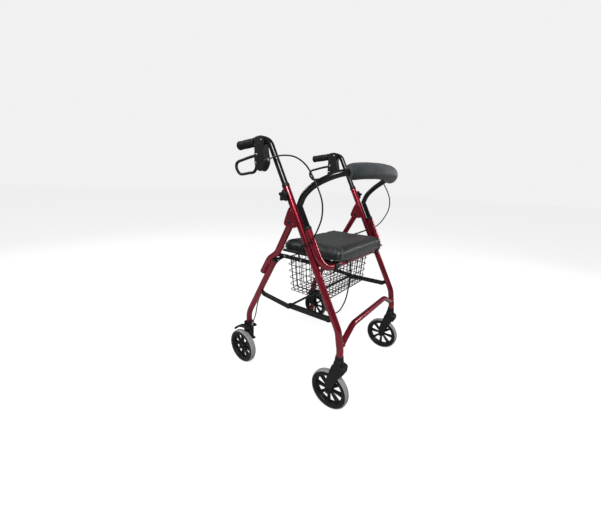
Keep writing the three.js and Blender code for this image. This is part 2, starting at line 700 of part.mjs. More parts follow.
// The underside is hollow, so that the pad's skirt hangs round the board, and a lip hangs in front
// of the seat tube.
const LIP_T = 14;
const padHollow = block(
  [-SEAT.x + 7.6, SEAT.x - 7.6], [SEAT.front + LIP_T, SEAT.back - 7.6], [SEAT.skirtZ - 5, SEAT.padZ],
);
const padLip = block(
  [-SEAT.x + 12, SEAT.x - 12], [SEAT.front, SEAT.front + LIP_T], [SEAT.lipZ, SEAT.skirtZ + PAD_BEVEL + 2],
);
const seatPad = join(cut(padBlock, padHollow), padLip);
add('seat_pad', seatPad, VINYL);

const RAIL_X = [220, 228];
const strapX = [168, 190];
const seatRail = cut(
  join(
    block(RAIL_X, [uCorner[0] + 27, 92], [518, 532]),
    block([strapX[0], RAIL_X[1]], [uCorner[0] + 27, uCorner[0] + 40], [518, 532]),
    block(strapX, [uCorner[0] + 12, uCorner[0] + 30], [518, 532]),
    turned(
      [[strapX[0], 0], [strapX[0], 16.5], [strapX[1], 16.5], [strapX[1], 0]],
      uCorner,
      20,
    ),
  ),
  rod(uPath, around(TUBE_R + GAP)),
);
addPair('seat_rail', seatRail, BLACK_STEEL);

// ---- basket: a tapering tray with an open top, and hooks over the seat tube
const inset = (edge, d) => ({ ...edge, x: edge.x - d, front: edge.front + d, back: edge.back - d });
function tray(top, bottom) {
  const ringOf = (r) => [[-r.x, r.front, r.z], [r.x, r.front, r.z], [r.x, r.back, r.z], [-r.x, r.back, r.z]];
  const corners = [...ringOf(bottom), ...ringOf(top)];
  const faces = [[0, 2, 1], [0, 3, 2], [4, 5, 6], [4, 6, 7]];
  for (let i = 0; i < 4; i += 1) {
    const j = (i + 1) % 4;
    faces.push([i, j, j + 4], [i, j + 4, i + 4]);
  }
  const geometry = new THREE.BufferGeometry();
  geometry.setAttribute('position', new THREE.Float32BufferAttribute(corners.flat(), 3));
  geometry.setIndex(faces.flat());
  return geometry;
}
const innerTop = { ...inset(BASKET.top, BASKET.wall), z: BASKET.top.z + 5 };
const innerBottom = { ...inset(BASKET.bottom, BASKET.wall), z: BASKET.bottom.z + BASKET.wall };
const WIRE_R = 2.2;
const overTube = [0, 30, 60, 90, 120, 150, 180].map((deg) => {
  const a = THREE.MathUtils.degToRad(deg);
  const reach = TUBE_R + 0.8 + WIRE_R;
  return [uCorner[0] + reach * Math.cos(a), uCorner[1] + reach * Math.sin(a)];
});
const frontHook = (x) =>
  rod([at(x, [BASKET.top.front + 2, 497]), ...overTube.map((place) => at(x, place))], WIRE_R, 8);
const studTop = [STUD_AT[0], STUD_AT[1] + 5 + 0.8 + WIRE_R];
const rearHook = rod(
  [at(BASKET.top.x - 2.5, [58, 501]), at(190, [studTop[0] - 6, studTop[1] + 0.5]), at(216, studTop)],
  WIRE_R,
  8,
);
const basketTray = cut(tray(BASKET.top, BASKET.bottom), tray(innerTop, innerBottom));
add(
  'basket',
  join(basketTray, frontHook(110), frontHook(-110), rearHook, mirrored(rearHook)),
  BLACK_STEEL,
);

// ---- brake cables: over the top from the housing to the leg, then down to the brake arm
function cable(points, radius = CABLE_R) {
  const curve = new THREE.CatmullRomCurve3(points.map((p) => new THREE.Vector3(...p)), false, 'centripetal');
  const steps = Math.round(curve.getLength() / (6 * radius));
  return rod(curve.getSpacedPoints(steps), radius, 8);
}
const upperCable = [
  [262, 112.8, 879.4], [263.5, 106, 881], [267, 94, 883.5], [269, 80, 886], [270, 60, 888], [270, 28, 888.5],
  [271, -6, 884],
  [274, -38, 872],
  [280, -70, 852], [285, -98, 822], [287, -122, 786], [287, -140, 745], [286, -141, 700], [283, -126, 660],
  [278, -104, 625], [272, -78, 604], [270.5, -61, 596],
];
const nearLowerCable = [
  [270.3, -58.5, 594], [268, -45, 578], [262, -38, 556], [250, -34, 542], [240, -20, 536], [236, 6, 534],
  [235, 34, 530], [235, 62, 520], [234.5, 92, 496], [234.5, 116, 460], [234.5, 136, 425], [234.5, 157, 388],
  [234.5, 180, 343], [234.5, 203, 296], [236, 212, 256], [244, 211, 228], [260, 207, 205], [270, 205, 187],
];
const farLowerCable = [
  [270.3, -58.5, 594], [268, -40, 586], [258, -12, 572], [246, 12, 560], [236, 24, 540], [234.5, 23, 512],
  [226, 10, 480], [217, -3, 440], [214, -7, 400], [214, -7, 355], [214, -6, 310], [214, -3, 265],
  [214, 4, 219], [216, 16, 180], [218, 42, 128], [222, 80, 98], [228, 122, 96], [240, 164, 118],
  [256, 190, 150], [269, 202, 172],
];
addPair('upper_cable', cable(upperCable), CABLE);
add('lower_cable_left', cable(farLowerCable, SLEEVE_R), CABLE);
add('lower_cable_right', mirrored(cable(nearLowerCable)), CABLE);

// The frame's origin is under the middle of the bounding box.
walker.position.y = -CENTRE_Y;

export default walker;
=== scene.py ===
"""Looks of a folding four-wheeled walker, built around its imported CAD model.

Sizes in the drawing are millimetres: x from the middle plane, y from the drawing's datum, z from
the floor. Every mesh is in metres, in the CAD model's own frame.
"""

import json
import logging
import math
from dataclasses import dataclass
from enum import Enum
from typing import Iterable, Optional, Sequence

import bpy
from mathutils import Matrix, Vector, noise

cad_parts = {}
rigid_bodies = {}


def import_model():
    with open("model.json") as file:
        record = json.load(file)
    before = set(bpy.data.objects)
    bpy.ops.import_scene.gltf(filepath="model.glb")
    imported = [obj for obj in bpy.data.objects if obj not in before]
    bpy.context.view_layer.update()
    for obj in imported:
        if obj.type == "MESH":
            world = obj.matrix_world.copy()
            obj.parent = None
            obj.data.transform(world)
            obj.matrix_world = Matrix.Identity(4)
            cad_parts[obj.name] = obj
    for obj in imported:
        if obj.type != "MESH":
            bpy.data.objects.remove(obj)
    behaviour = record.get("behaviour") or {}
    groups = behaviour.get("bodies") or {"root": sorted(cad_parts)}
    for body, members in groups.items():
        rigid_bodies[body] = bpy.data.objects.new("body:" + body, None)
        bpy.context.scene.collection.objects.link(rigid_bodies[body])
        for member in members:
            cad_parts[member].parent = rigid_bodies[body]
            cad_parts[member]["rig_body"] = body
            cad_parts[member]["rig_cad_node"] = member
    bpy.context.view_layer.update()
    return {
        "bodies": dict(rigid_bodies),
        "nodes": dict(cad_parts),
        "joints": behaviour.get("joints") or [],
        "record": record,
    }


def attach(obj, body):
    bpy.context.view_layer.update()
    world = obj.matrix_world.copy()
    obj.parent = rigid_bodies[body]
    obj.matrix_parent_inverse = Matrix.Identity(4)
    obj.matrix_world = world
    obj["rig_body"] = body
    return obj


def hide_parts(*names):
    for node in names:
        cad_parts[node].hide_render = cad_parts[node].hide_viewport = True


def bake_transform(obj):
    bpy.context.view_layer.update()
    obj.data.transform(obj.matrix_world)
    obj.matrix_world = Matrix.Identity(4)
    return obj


LOG = logging.getLogger("walker")
MM = 0.001
DATUM_Y = 25.5  # the datum is this far behind the middle of the CAD model's length
Flat = tuple[float, float]
Spot = tuple[float, float, float]
Route = list[Vector]


class Slot(Enum):
    """The record's material slots."""

    RED = "red_paint"
    TUBE = "black_tube"
    STEEL = "black_steel"
    MOULDED = "moulded"
    GRIP = "grip_rubber"
    TYRE = "tyre_grey"
    RIM = "rim_plastic"
    ZINC = "zinc"
    VINYL = "vinyl"
    FOAM = "foam"
    SHEATH = "cable_sheath"


# ------------------------------------------------------------------ the drawing


def place(x: float, y: float, z: float) -> Vector:
    """Turns a place in the drawing into a place in the model."""
    return Vector((x * MM, (y - DATUM_Y) * MM, z * MM))


def at(x: float, flat: Flat) -> Vector:
    """Puts a (y, z) place of the drawing at a distance x from the middle plane."""
    return place(x, flat[0], flat[1])


@dataclass(frozen=True)
class Drawing:
    """The sizes that several sub-assemblies share."""

    leg_x: float = 252
    tube_r: float = 12.7
    inner_r: float = 11.1
    leg_angle: float = math.radians(28.1)
    leg_bend: Flat = (-213, 317)
    leg_length: float = 537
    caster_y: float = -226
    leg_foot: float = 217
    wheel_r: float = 76
    caster_trail: float = 29
    rear_x: float = 289
    rear_y: float = 248
    fold_pivot: Flat = (8, 668)
    rear_angle: float = math.radians(28)
    rear_bend: Flat = (244, 233)
    u_offset: float = 26.4
    u_top: float = 365
    u_bottom: float = 215
    brace_joint: Flat = (11, 338)
    brace_eye: float = 26.2
    brace_z: float = 357

    def on_leg(self, s: float, offset: float = 0) -> Flat:
        """Gives a place s up the front leg's axis, with an offset towards the front."""
        sin, cos = math.sin(self.leg_angle), math.cos(self.leg_angle)
        y, z = self.leg_bend
        return y + s * sin - offset * cos, z + s * cos + offset * sin

    def on_rear(self, s: float, offset: float = 0) -> Flat:
        """Gives a place s down the rear leg from its pivot, with an offset towards the back."""
        sin, cos = math.sin(self.rear_angle), math.cos(self.rear_angle)
        y, z = self.fold_pivot
        return y + s * sin + offset * cos, z - s * cos + offset * sin

    def front_eye(self) -> tuple[Flat, Flat]:
        """Gives the place on the front leg and the eye of the brace tab."""
        s = (self.brace_z - self.leg_bend[1]) / math.cos(self.leg_angle)
        return self.on_leg(s), self.on_leg(s, -self.brace_eye)

    def leg_axis(self) -> Vector:
        """Gives the direction up the front leg."""
        return Vector((0, math.sin(self.leg_angle), math.cos(self.leg_angle)))


D = Drawing()


def rounded(corners: Sequence[Vector], radii: Sequence[float], step: float = 6) -> Route:
    """Rounds the inner corners of a bent tube's route.

    Args:
        corners: the corners of the route, in metres.
        radii: the bend radius at each inner corner, in millimetres.
        step: the degrees from one point of an arc to the next.

    Returns:
        The points of the route.
    """
    route = [corners[0]]
    for corner, before, after, radius in zip(corners[1:-1], corners, corners[2:], radii):
        inward, outward = (corner - before).normalized(), (after - corner).normalized()
        turn, r = inward.angle(outward), radius * MM
        side = (outward - inward * math.cos(turn)).normalized()
        centre = corner - inward * r * math.tan(turn / 2) + side * r
        steps = max(3, math.ceil(math.degrees(turn) / step))
        for k in range(steps + 1):
            a = turn * k / steps
            route.append(centre - side * r * math.cos(a) + inward * r * math.sin(a))
    return route + [corners[-1]]


def flowing(knots: Sequence[Vector], gap: float = 5, closed: bool = False) -> Route:
    """Runs a smooth curve through knots, with points about gap millimetres apart.

    Args:
        knots: the places that the curve runs through.
        gap: the spacing of its points, in millimetres.
        closed: whether it runs on to its start.

    Returns:
        The places along it.
    """
    count = len(knots)
    route: Route = []
    spans = count if closed else count - 1
    for i in range(spans):
        p0 = knots[(i - 1) % count] if closed or i > 0 else knots[0] * 2 - knots[1]
        p1, p2 = knots[i], knots[(i + 1) % count]
        p3 = knots[(i + 2) % count] if closed or i < count - 2 else p2 * 2 - p1
        t1 = math.sqrt(max((p1 - p0).length, 1e-6))
        t2 = t1 + math.sqrt(max((p2 - p1).length, 1e-6))
        t3 = t2 + math.sqrt(max((p3 - p2).length, 1e-6))
        steps = max(2, round((p2 - p1).length / (gap * MM)))
        for k in range(steps):
            t = t1 + (t2 - t1) * k / steps
            a1 = p0 * ((t1 - t) / t1) + p1 * (t / t1)
            a2 = p1 * ((t2 - t) / (t2 - t1)) + p2 * ((t - t1) / (t2 - t1))
            a3 = p2 * ((t3 - t) / (t3 - t2)) + p3 * ((t - t2) / (t3 - t2))
            b1 = a1 * ((t2 - t) / t2) + a2 * (t / t2)
            b2 = a2 * ((t3 - t) / (t3 - t1)) + a3 * ((t - t1) / (t3 - t1))
            route.append(b1 * ((t2 - t) / (t2 - t1)) + b2 * ((t - t1) / (t2 - t1)))
    return route if closed else route + [knots[-1]]


def softened(outline: Sequence[Flat], rounds: int = 2) -> list[Flat]:
    """Cuts the corners of a closed outline, again and again.

    Args:
        outline: the corners, in order.
        rounds: how many times they are cut.

    Returns:
        The corners of the outline.
    """
    for _ in range(rounds):
        cut: list[Flat] = []
        for (y0, z0), (y1, z1) in zip(outline, [*outline[1:], outline[0]]):
            cut.append((0.8 * y0 + 0.2 * y1, 0.8 * z0 + 0.2 * z1))
            cut.append((0.2 * y0 + 0.8 * y1, 0.2 * z0 + 0.8 * z1))
        outline = cut
    return list(outline)


def bar_outline(start: Flat, end: Flat, radius: float, steps: int = 12) -> list[Flat]:
    """Draws the outline of a flat bar with round ends, from one eye to the other.

    Args:
        start: the centre of one eye.
        end: the centre of the other.
        radius: the radius of both ends, in millimetres.
        steps: the points round each end.

    Returns:
        The corners of the outline.
    """
    heading = math.atan2(end[1] - start[1], end[0] - start[0])
    outline: list[Flat] = []
    for (y, z), quarter in ((start, math.pi / 2), (end, -math.pi / 2)):
        for i in range(steps + 1):
            a = heading + quarter + math.pi * i / steps
            outline.append((y + radius * math.cos(a), z + radius * math.sin(a)))
    return outline


# ------------------------------------------------------------------ the bench


def clear_bench() -> None:
    """Leaves edit mode and deselects everything."""
    if bpy.context.object and bpy.context.object.mode != "OBJECT":
        bpy.ops.object.mode_set(mode="OBJECT")
    bpy.ops.object.select_all(action="DESELECT")


def take(piece: bpy.types.Object) -> None:
    """Selects one piece and makes it the active one."""
    clear_bench()
    piece.select_set(True)
    bpy.context.view_layer.objects.active = piece


def settle(piece: bpy.types.Object, matrix: Optional[Matrix] = None) -> None:
    """Moves a piece by a matrix and applies its place to its mesh."""
    take(piece)
    if matrix is not None:
        piece.matrix_world = matrix @ piece.matrix_world
    bpy.ops.object.transform_apply(location=True, rotation=True, scale=True)


def trued(piece: bpy.types.Object, smooth_to: float = 35) -> bpy.types.Object:
    """Merges doubles, points the faces outwards and smooths all but the sharp edges.

    Args:
        piece: the mesh object.
        smooth_to: the edge angle, in degrees, up to which it is smoothed.

    Returns:
        The mesh object.
    """
    take(piece)
    bpy.ops.object.mode_set(mode="EDIT")
    bpy.ops.mesh.select_all(action="SELECT")
    bpy.ops.mesh.remove_doubles(threshold=1e-6)
    bpy.ops.mesh.normals_make_consistent(inside=False)
    bpy.ops.object.mode_set(mode="OBJECT")
    bpy.ops.object.shade_smooth_by_angle(angle=math.radians(smooth_to))
    return piece


def modified(piece: bpy.types.Object, kind: str, **settings: object) -> bpy.types.Object:
    """Adds a modifier of a kind, sets it and applies it.

    Args:
        piece: the mesh object.
        kind: the kind of modifier.
        settings: the modifier's settings.

    Returns:
        The mesh object.
    """
    take(piece)
    bpy.ops.object.modifier_add(type=kind)
    modifier = piece.modifiers[-1]
    for name, value in settings.items():
        setattr(modifier, name, value)
    bpy.ops.object.modifier_apply(modifier=modifier.name)
    return piece


def eased(piece: bpy.types.Object, width: float, segments: int = 2) -> bpy.types.Object:
    """Rounds a piece's sharp edges by a width in millimetres.

    Args:
        piece: the mesh object.
        width: the width of the rounding, in millimetres.
        segments: its segments.

    Returns:
        The mesh object.
    """
    modified(
        piece, "BEVEL", width=width * MM, segments=segments, limit_method="ANGLE",
        angle_limit=math.radians(35),
    )
    return trued(piece)


def bored(piece: bpy.types.Object, *cutters: bpy.types.Object) -> bpy.types.Object:
    """Cuts other shapes out of a piece and throws them away."""
    for cutter in cutters:
        modified(piece, "BOOLEAN", operation="DIFFERENCE", object=cutter, solver="EXACT")
        bpy.data.objects.remove(cutter)
    return piece


def joined(name: str, pieces: Sequence[bpy.types.Object]) -> bpy.types.Object:
    """Joins several shapes into one piece.

    Args:
        name: the name of the new piece.
        pieces: the mesh objects, which it uses up.

    Returns:
        The mesh object.
    """
    clear_bench()
    for piece in pieces:
        piece.select_set(True)
    bpy.context.view_layer.objects.active = pieces[0]
    if len(pieces) > 1:
        bpy.ops.object.join()
    pieces[0].name = name
    return pieces[0]


def copied(piece: bpy.types.Object, name: str, matrix: Optional[Matrix] = None) -> bpy.types.Object:
    """Copies a piece with a mesh of its own, and moves the copy by a matrix.

    Args:
        piece: the mesh object.
        name: the name of the copy.
        matrix: the move, or none to leave it in place.

    Returns:
        The mesh object.
    """
    take(piece)
    bpy.ops.object.duplicate()
    copy = bpy.context.object
    copy.name = name
    if matrix is not None:
        settle(copy, matrix)
    return copy


def other_side(piece: bpy.types.Object, name: str) -> bpy.types.Object:
    """Copies a piece to the other side of the middle plane."""
    copy = copied(piece, name)
    copy.data.transform(Matrix.Scale(-1, 4, (1, 0, 0)))
    copy.data.flip_normals()
    return copy


def revolved(
    name: str,
    rings: Sequence[Flat],
    origin: Vector,
    axis: Vector,
    sides: int = 40,
    hollow: bool = False,
    smooth_to: float = 35,
) -> bpy.types.Object:
    """Extrudes and resizes a circle from ring to ring, about an axis.

    Args:
        name: the piece's name.
        rings: (distance along the axis, radius) of each ring, in millimetres.
        origin: the place on the axis that the distances start from.
        axis: the direction of the axis.
        sides: the number of corners of the circle.
        hollow: whether the last ring closes on the first, as a sleeve's does.
        smooth_to: the sharpest edge that is smoothed, in degrees.

    Returns:
        The piece.
    """
    clear_bench()
    (height, radius), *rest = [*rings, rings[0]] if hollow else rings
    bpy.ops.mesh.primitive_circle_add(
        vertices=sides, radius=radius * MM, fill_type="NOTHING" if hollow else "NGON",
        location=(0, 0, height * MM),
    )
    piece = bpy.context.object
    piece.name = name
    bpy.ops.object.mode_set(mode="EDIT")
    for next_height, next_radius in rest:
        bpy.ops.mesh.extrude_region_move(
            TRANSFORM_OT_translate={"value": (0, 0, (next_height - height) * MM)}
        )
        share = next_radius / radius
        bpy.ops.transform.resize(value=(share, share, 1), center_override=(0, 0, 0))
        height, radius = next_height, next_radius
    settle(piece)
    turn = Vector((0, 0, 1)).rotation_difference(axis.normalized()).to_matrix().to_4x4()
    settle(piece, Matrix.Translation(origin) @ turn)
    return trued(piece, smooth_to)


def slab(
    name: str,
    outline: Sequence[Flat],
    span: Flat,
    edge: float = 0.8,
    segments: int = 2,
    holes: Sequence[tuple[Flat, float]] = (),
) -> bpy.types.Object:
    """Extrudes a flat outline across the model and eases its edges.

    Args:
        name: the piece's name.
        outline: the corners in (y, z).
        span: the x of the two faces.
        edge: the width of the eased edge, in millimetres.
        segments: the number of facets of the eased edge.
        holes: the centre and radius of each round hole through it.

    Returns:
        The piece.
    """
    clear_bench()
    bpy.ops.mesh.primitive_circle_add(vertices=len(outline), fill_type="NGON")
    piece = bpy.context.object
    piece.name = name
    for corner, flat in zip(piece.data.vertices, outline):
        corner.co = at(span[0], flat)
    bpy.ops.object.mode_set(mode="EDIT")
    bpy.ops.mesh.extrude_region_move(
        TRANSFORM_OT_translate={"value": ((span[1] - span[0]) * MM, 0, 0)}
    )
    trued(piece)
    for centre, radius in holes:
        cutter = revolved(
            "cutter", [(span[0] - 3, radius), (span[1] + 3, radius)], at(0, centre), X_AXIS, 28
        )
        bored(piece, cutter)
    return eased(piece, edge, segments) if edge else piece


def bent_tube(
    name: str, routes: Sequence[Route], radius: float, around: int = 6, closed: bool = False
) -> bpy.types.Object:
    """Sweeps a circle along one or more routes and makes the result a mesh.

    Args:
        name: the piece's name.
        routes: the points of each route.
        radius: the tube's radius in millimetres.
        around: the fineness of the circle.
        closed: whether each route ends where it starts.

    Returns:
        The piece.
    """
    clear_bench()
    bpy.ops.curve.primitive_bezier_curve_add()
    path = bpy.context.object
    path.name = name
    path.data.splines.clear()
    path.data.dimensions = "3D"
    path.data.twist_mode = "MINIMUM"
    for route in routes:
        spline = path.data.splines.new("POLY")
        spline.points.add(len(route) - 1)
        for knot, spot in zip(spline.points, route):
            knot.co = (*spot, 1)
        spline.use_cyclic_u = closed
    path.data.bevel_depth = radius * MM
    path.data.bevel_resolution = around
    path.data.use_fill_caps = not closed
    bpy.ops.object.convert(target="MESH")
    return trued(bpy.context.object, 50)


def ball_end(
    name: str, centre: Vector, radius: float, flat: float = 1.0, axis: Optional[Vector] = None
) -> bpy.types.Object:
    """Makes a domed stud head: a half ball with a flattened height, on a short skirt.

    Args:
        name: the name of the piece.
        centre: the middle of the flat side.
        radius: its radius, in millimetres.
        flat: its height as a share of its radius.
        axis: the way it faces, or none for +X.

    Returns:
        The mesh object.
    """
    rings = [(-0.6, radius), (0, radius)]
    for deg in (20, 40, 58, 74, 86):
        a = math.radians(deg)
        rings.append((radius * flat * math.sin(a), radius * math.cos(a)))
    return revolved(name, rings, centre, axis or X_AXIS, 24)


def cad_copy(node: str, name: str, edge: float, segments: int = 2) -> bpy.types.Object:
    """Copies a CAD node, merges its loose triangles and eases its edges.

    Args:
        node: the CAD node's name.
        name: the name of the copy.
        edge: the width of its rounded edges, in millimetres.
        segments: the edges' segments.

    Returns:
        The mesh object.
    """
    source = FRAME["nodes"][node]
    clear_bench()
    source.select_set(True)
    bpy.context.view_layer.objects.active = source
    bpy.ops.object.duplicate()
    piece = bpy.context.object
    piece.parent = None
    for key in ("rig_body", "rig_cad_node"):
        if key in piece:
            del piece[key]
    piece.name = name
    bpy.ops.object.mode_set(mode="EDIT")
    bpy.ops.mesh.select_all(action="SELECT")
    bpy.ops.mesh.remove_doubles(threshold=1e-5)
    bpy.ops.mesh.dissolve_limited(angle_limit=math.radians(2))
    bpy.ops.object.mode_set(mode="OBJECT")
    return eased(piece, edge, segments)


X_AXIS = Vector((1, 0, 0))
Z_AXIS = Vector((0, 0, 1))
FRAME: dict = {}


# ------------------------------------------------------------------ finishes


class Nodes:
    """A short way to wire a material's nodes."""

    def __init__(self, name: str) -> None:
        """Starts a material with a shader and the piece's own coordinates.

        Args:
            name: the material's name.
        """
        self.material = bpy.data.materials.new(name)
        self.material.use_nodes = True
        self.tree = self.material.node_tree
        self.shader = self.tree.nodes["Principled BSDF"]
        self.coords = self.tree.nodes.new("ShaderNodeTexCoord").outputs["Object"]

    def node(self, kind: str, inputs: dict[str, object], **settings: object) -> bpy.types.Node:
        """Adds a node, sets it, and links or fills its inputs.

        Args:
            kind: the kind of node.
            inputs: a value or a socket for each input.
            settings: the node's own settings.

        Returns:
            The node.
        """
        made = self.tree.nodes.new(kind)
        for key, value in settings.items():
            setattr(made, key, value)
        for key, value in inputs.items():
            if isinstance(value, bpy.types.NodeSocket):
                self.tree.links.new(value, made.inputs[key])
            else:
                made.inputs[key].default_value = value
        return made

    def noise(self, scale: float, detail: float = 3, rough: float = 0.5) -> bpy.types.NodeSocket:
        """Adds a noise pattern."""
        inputs = {"Vector": self.coords, "Scale": scale, "Detail": detail, "Roughness": rough}
        return self.node("ShaderNodeTexNoise", inputs).outputs["Fac"]

    def cells(self, scale: float, feature: str = "F1") -> bpy.types.NodeSocket:
        """Adds a pattern of cells."""
        inputs = {"Vector": self.coords, "Scale": scale}
        return self.node("ShaderNodeTexVoronoi", inputs, feature=feature).outputs["Distance"]

    def ramp(
        self, value: bpy.types.NodeSocket, low: float, high: float, out: Flat = (0, 1)
    ) -> bpy.types.NodeSocket:
        """Stretches a value from one range to another.

        Args:
            value: the socket to stretch.
            low: the value that gives the low end.
            high: the value that gives the high end.
            out: the two ends.

        Returns:
            The socket that carries the result.
        """
        inputs = {
            "Value": value, "From Min": low, "From Max": high, "To Min": out[0], "To Max": out[1],
        }
        return self.node("ShaderNodeMapRange", inputs).outputs["Result"]

    def blend(
        self, share: bpy.types.NodeSocket, one: Sequence[float], two: Sequence[float]
    ) -> bpy.types.NodeSocket:
        """Mixes two colours by a share.

        Args:
            share: the socket that mixes them.
            one: the colour at 0.
            two: the colour at 1.

        Returns:
            The socket that carries the result.
        """
        made = self.node("ShaderNodeMix", {}, data_type="RGBA")
        self.tree.links.new(share, made.inputs[0])
        made.inputs[6].default_value = (*one, 1)
        made.inputs[7].default_value = (*two, 1)
        return made.outputs[2]

    def bump(
        self,
        height: bpy.types.NodeSocket,
        depth: float,
        strength: float = 1,
        under: Optional[bpy.types.NodeSocket] = None,
    ) -> bpy.types.NodeSocket:
        """Adds a relief of a depth in millimetres, over another relief if there is one.

        Args:
            height: the socket with the relief.
            depth: its depth, in millimetres.
            strength: how strongly it shows.
            under: the relief below it.

        Returns:
            The socket that carries the result.
        """
        inputs: dict[str, object] = {"Height": height, "Distance": depth * MM, "Strength": strength}
        if under is not None:
            inputs["Normal"] = under
        return self.node("ShaderNodeBump", inputs).outputs["Normal"]

    def set(self, **sockets: object) -> None:
        """Links or fills the shader's sockets; an underscore in a name stands for a space.

        Args:
            sockets: a value or a socket for each of the shader's inputs.
        """
        for key, value in sockets.items():
            socket = self.shader.inputs[key.replace("_", " ")]
            if isinstance(value, bpy.types.NodeSocket):
                self.tree.links.new(value, socket)
            elif isinstance(value, tuple) and len(value) == 3:
                socket.default_value = (*value, 1)
            else:
                socket.default_value = value


@dataclass(frozen=True)
class MetallicPaint:
    """A metallic paint under a clear coat, a little darker in patches."""

    name: str
    light: tuple[float, float, float]
    dark: tuple[float, float, float]
    metallic: float
    roughness: Flat

    def make(self) -> bpy.types.Material:
        """Wires the paint.

        Returns:
            The material.
        """
        n = Nodes(self.name)
        patches = n.ramp(n.noise(14, 4), 0.35, 0.65)
        flakes = n.cells(2600)
        peel = n.noise(420, 2)
        n.set(
            Base_Color=n.blend(patches, self.light, self.dark),
            Metallic=self.metallic,
            Roughness=n.ramp(n.noise(35, 5), 0.3, 0.7, self.roughness),
            Coat_Weight=0.7,
            Coat_Roughness=0.08,
            Normal=n.bump(peel, 0.05, 0.35, n.bump(flakes, 0.03, 0.25)),
        )
        return n.material


@dataclass(frozen=True)
class PowderCoat:
    """A black powder coat with a fine orange peel."""

    name: str
    colour: tuple[float, float, float]
    worn: tuple[float, float, float]
    roughness: Flat

    def make(self) -> bpy.types.Material:
        """Wires the coat.

        Returns:
            The material.
        """
        n = Nodes(self.name)
        n.set(
            Base_Color=n.blend(n.ramp(n.noise(22, 5), 0.4, 0.75), self.colour, self.worn),
            Roughness=n.ramp(n.noise(60, 4), 0.3, 0.7, self.roughness),
            Specular_IOR_Level=0.35,
            Normal=n.bump(n.noise(900, 2), 0.06, 0.4),
        )
        return n.material


@dataclass(frozen=True)
class Moulding:
    """A moulded plastic or rubber with a fine eroded grain."""

    name: str
    colour: tuple[float, float, float]
    scuffed: tuple[float, float, float]
    roughness: Flat
    grain: float
    depth: float

    def make(self) -> bpy.types.Material:
        """Wires the moulding.

        Returns:
            The material.
        """
        n = Nodes(self.name)
        scuffs = n.ramp(n.noise(30, 6, 0.65), 0.5, 0.8)
        n.set(
            Base_Color=n.blend(scuffs, self.colour, self.scuffed),
            Roughness=n.ramp(n.noise(45, 4), 0.3, 0.7, self.roughness),
            Specular_IOR_Level=0.28,
            Normal=n.bump(
                n.cells(self.grain), self.depth, 0.5, n.bump(n.noise(self.grain / 3, 3), self.depth, 0.3)
            ),
        )
        return n.material


@dataclass(frozen=True)
class Plated:
    """Bright zinc plate, brushed a little."""

    name: str

    def make(self) -> bpy.types.Material:
        """Wires the plate.

        Returns:
            The material.
        """
        n = Nodes(self.name)
        n.set(
            Base_Color=n.blend(n.ramp(n.noise(120, 4), 0.35, 0.7), (0.66, 0.67, 0.69), (0.45, 0.46, 0.48)),
            Metallic=1.0,
            Roughness=n.ramp(n.noise(200, 3), 0.3, 0.7, (0.22, 0.4)),
            Normal=n.bump(n.noise(700, 2), 0.02, 0.4),
        )
        return n.material


@dataclass(frozen=True)
class Upholstery:
    """Vinyl with a leather grain and a soft sheen, its colour painted darker in the crease hollows as a
    painted shade.
    """

    name: str

    def make(self) -> bpy.types.Material:
        """Wires the vinyl.

        Returns:
            The material.
        """
        n = Nodes(self.name)
        pebbles = n.ramp(n.cells(520, "DISTANCE_TO_EDGE"), 0.0, 0.16)
        crease_relief_and_shade = n.noise(38, 5, 0.6)
        n.set(
            # the colour follows the crease relief: painted shade, darker in the crease hollows and lighter
            # on their ridges
            Base_Color=n.blend(n.ramp(crease_relief_and_shade, 0.35, 0.7), (0.010, 0.012, 0.012), (0.020, 0.023, 0.022)),
            Roughness=n.ramp(n.noise(70, 4), 0.3, 0.7, (0.38, 0.52)),
            Specular_IOR_Level=0.55,
            Sheen_Weight=0.15,
            Sheen_Roughness=0.4,
            Normal=n.bump(pebbles, 0.16, 0.45, n.bump(crease_relief_and_shade, 1.2, 0.3)),
        )
        return n.material


@dataclass(frozen=True)
class OpenFoam:
    """Soft closed-cell foam, slate grey, with a skin of fine pores."""

    name: str

    def make(self) -> bpy.types.Material:
        """Wires the foam.

        Returns:
            The material.
        """
        n = Nodes(self.name)
        pores = n.ramp(n.cells(1100), 0.0, 0.6)
        n.set(
            Base_Color=n.blend(
                n.ramp(n.noise(26, 5), 0.35, 0.7), (0.017, 0.024, 0.028), (0.038, 0.047, 0.052)
            ),
            Roughness=0.86,
            Specular_IOR_Level=0.3,
            Sheen_Weight=0.25,
            Sheen_Roughness=0.5,
            Normal=n.bump(pores, 0.14, 0.6, n.bump(n.noise(60, 4), 0.8, 0.35)),
        )
        return n.material


FINISHES: dict[Slot, object] = {
    Slot.RED: MetallicPaint("wine_metallic", (0.30, 0.008, 0.026), (0.20, 0.005, 0.018), 0.72, (0.24, 0.34)),
    Slot.TUBE: PowderCoat("black_tube_coat", (0.005, 0.005, 0.006), (0.010, 0.010, 0.011), (0.16, 0.26)),
    Slot.STEEL: PowderCoat("black_wire_coat", (0.004, 0.004, 0.005), (0.010, 0.010, 0.011), (0.36, 0.5)),
    Slot.MOULDED: Moulding(
        "black_moulding", (0.006, 0.006, 0.007), (0.013, 0.013, 0.014), (0.46, 0.6), 1400, 0.08
    ),
    Slot.GRIP: Moulding("grip_rubber", (0.006, 0.006, 0.007), (0.013, 0.013, 0.014), (0.6, 0.76), 900, 0.14),
    Slot.TYRE: Moulding("grey_tread", (0.27, 0.27, 0.28), (0.17, 0.17, 0.17), (0.62, 0.8), 800, 0.12),
    Slot.RIM: Moulding("rim_plastic", (0.004, 0.004, 0.005), (0.010, 0.010, 0.011), (0.4, 0.54), 1500, 0.06),
    Slot.ZINC: Plated("zinc_plate"),
    Slot.VINYL: Upholstery("seat_vinyl"),
    Slot.FOAM: OpenFoam("slate_foam"),
    Slot.SHEATH: Moulding(
        "cable_sheath", (0.004, 0.004, 0.005), (0.009, 0.009, 0.010), (0.34, 0.46), 1600, 0.04
    ),
}


# ------------------------------------------------------------------ pieces


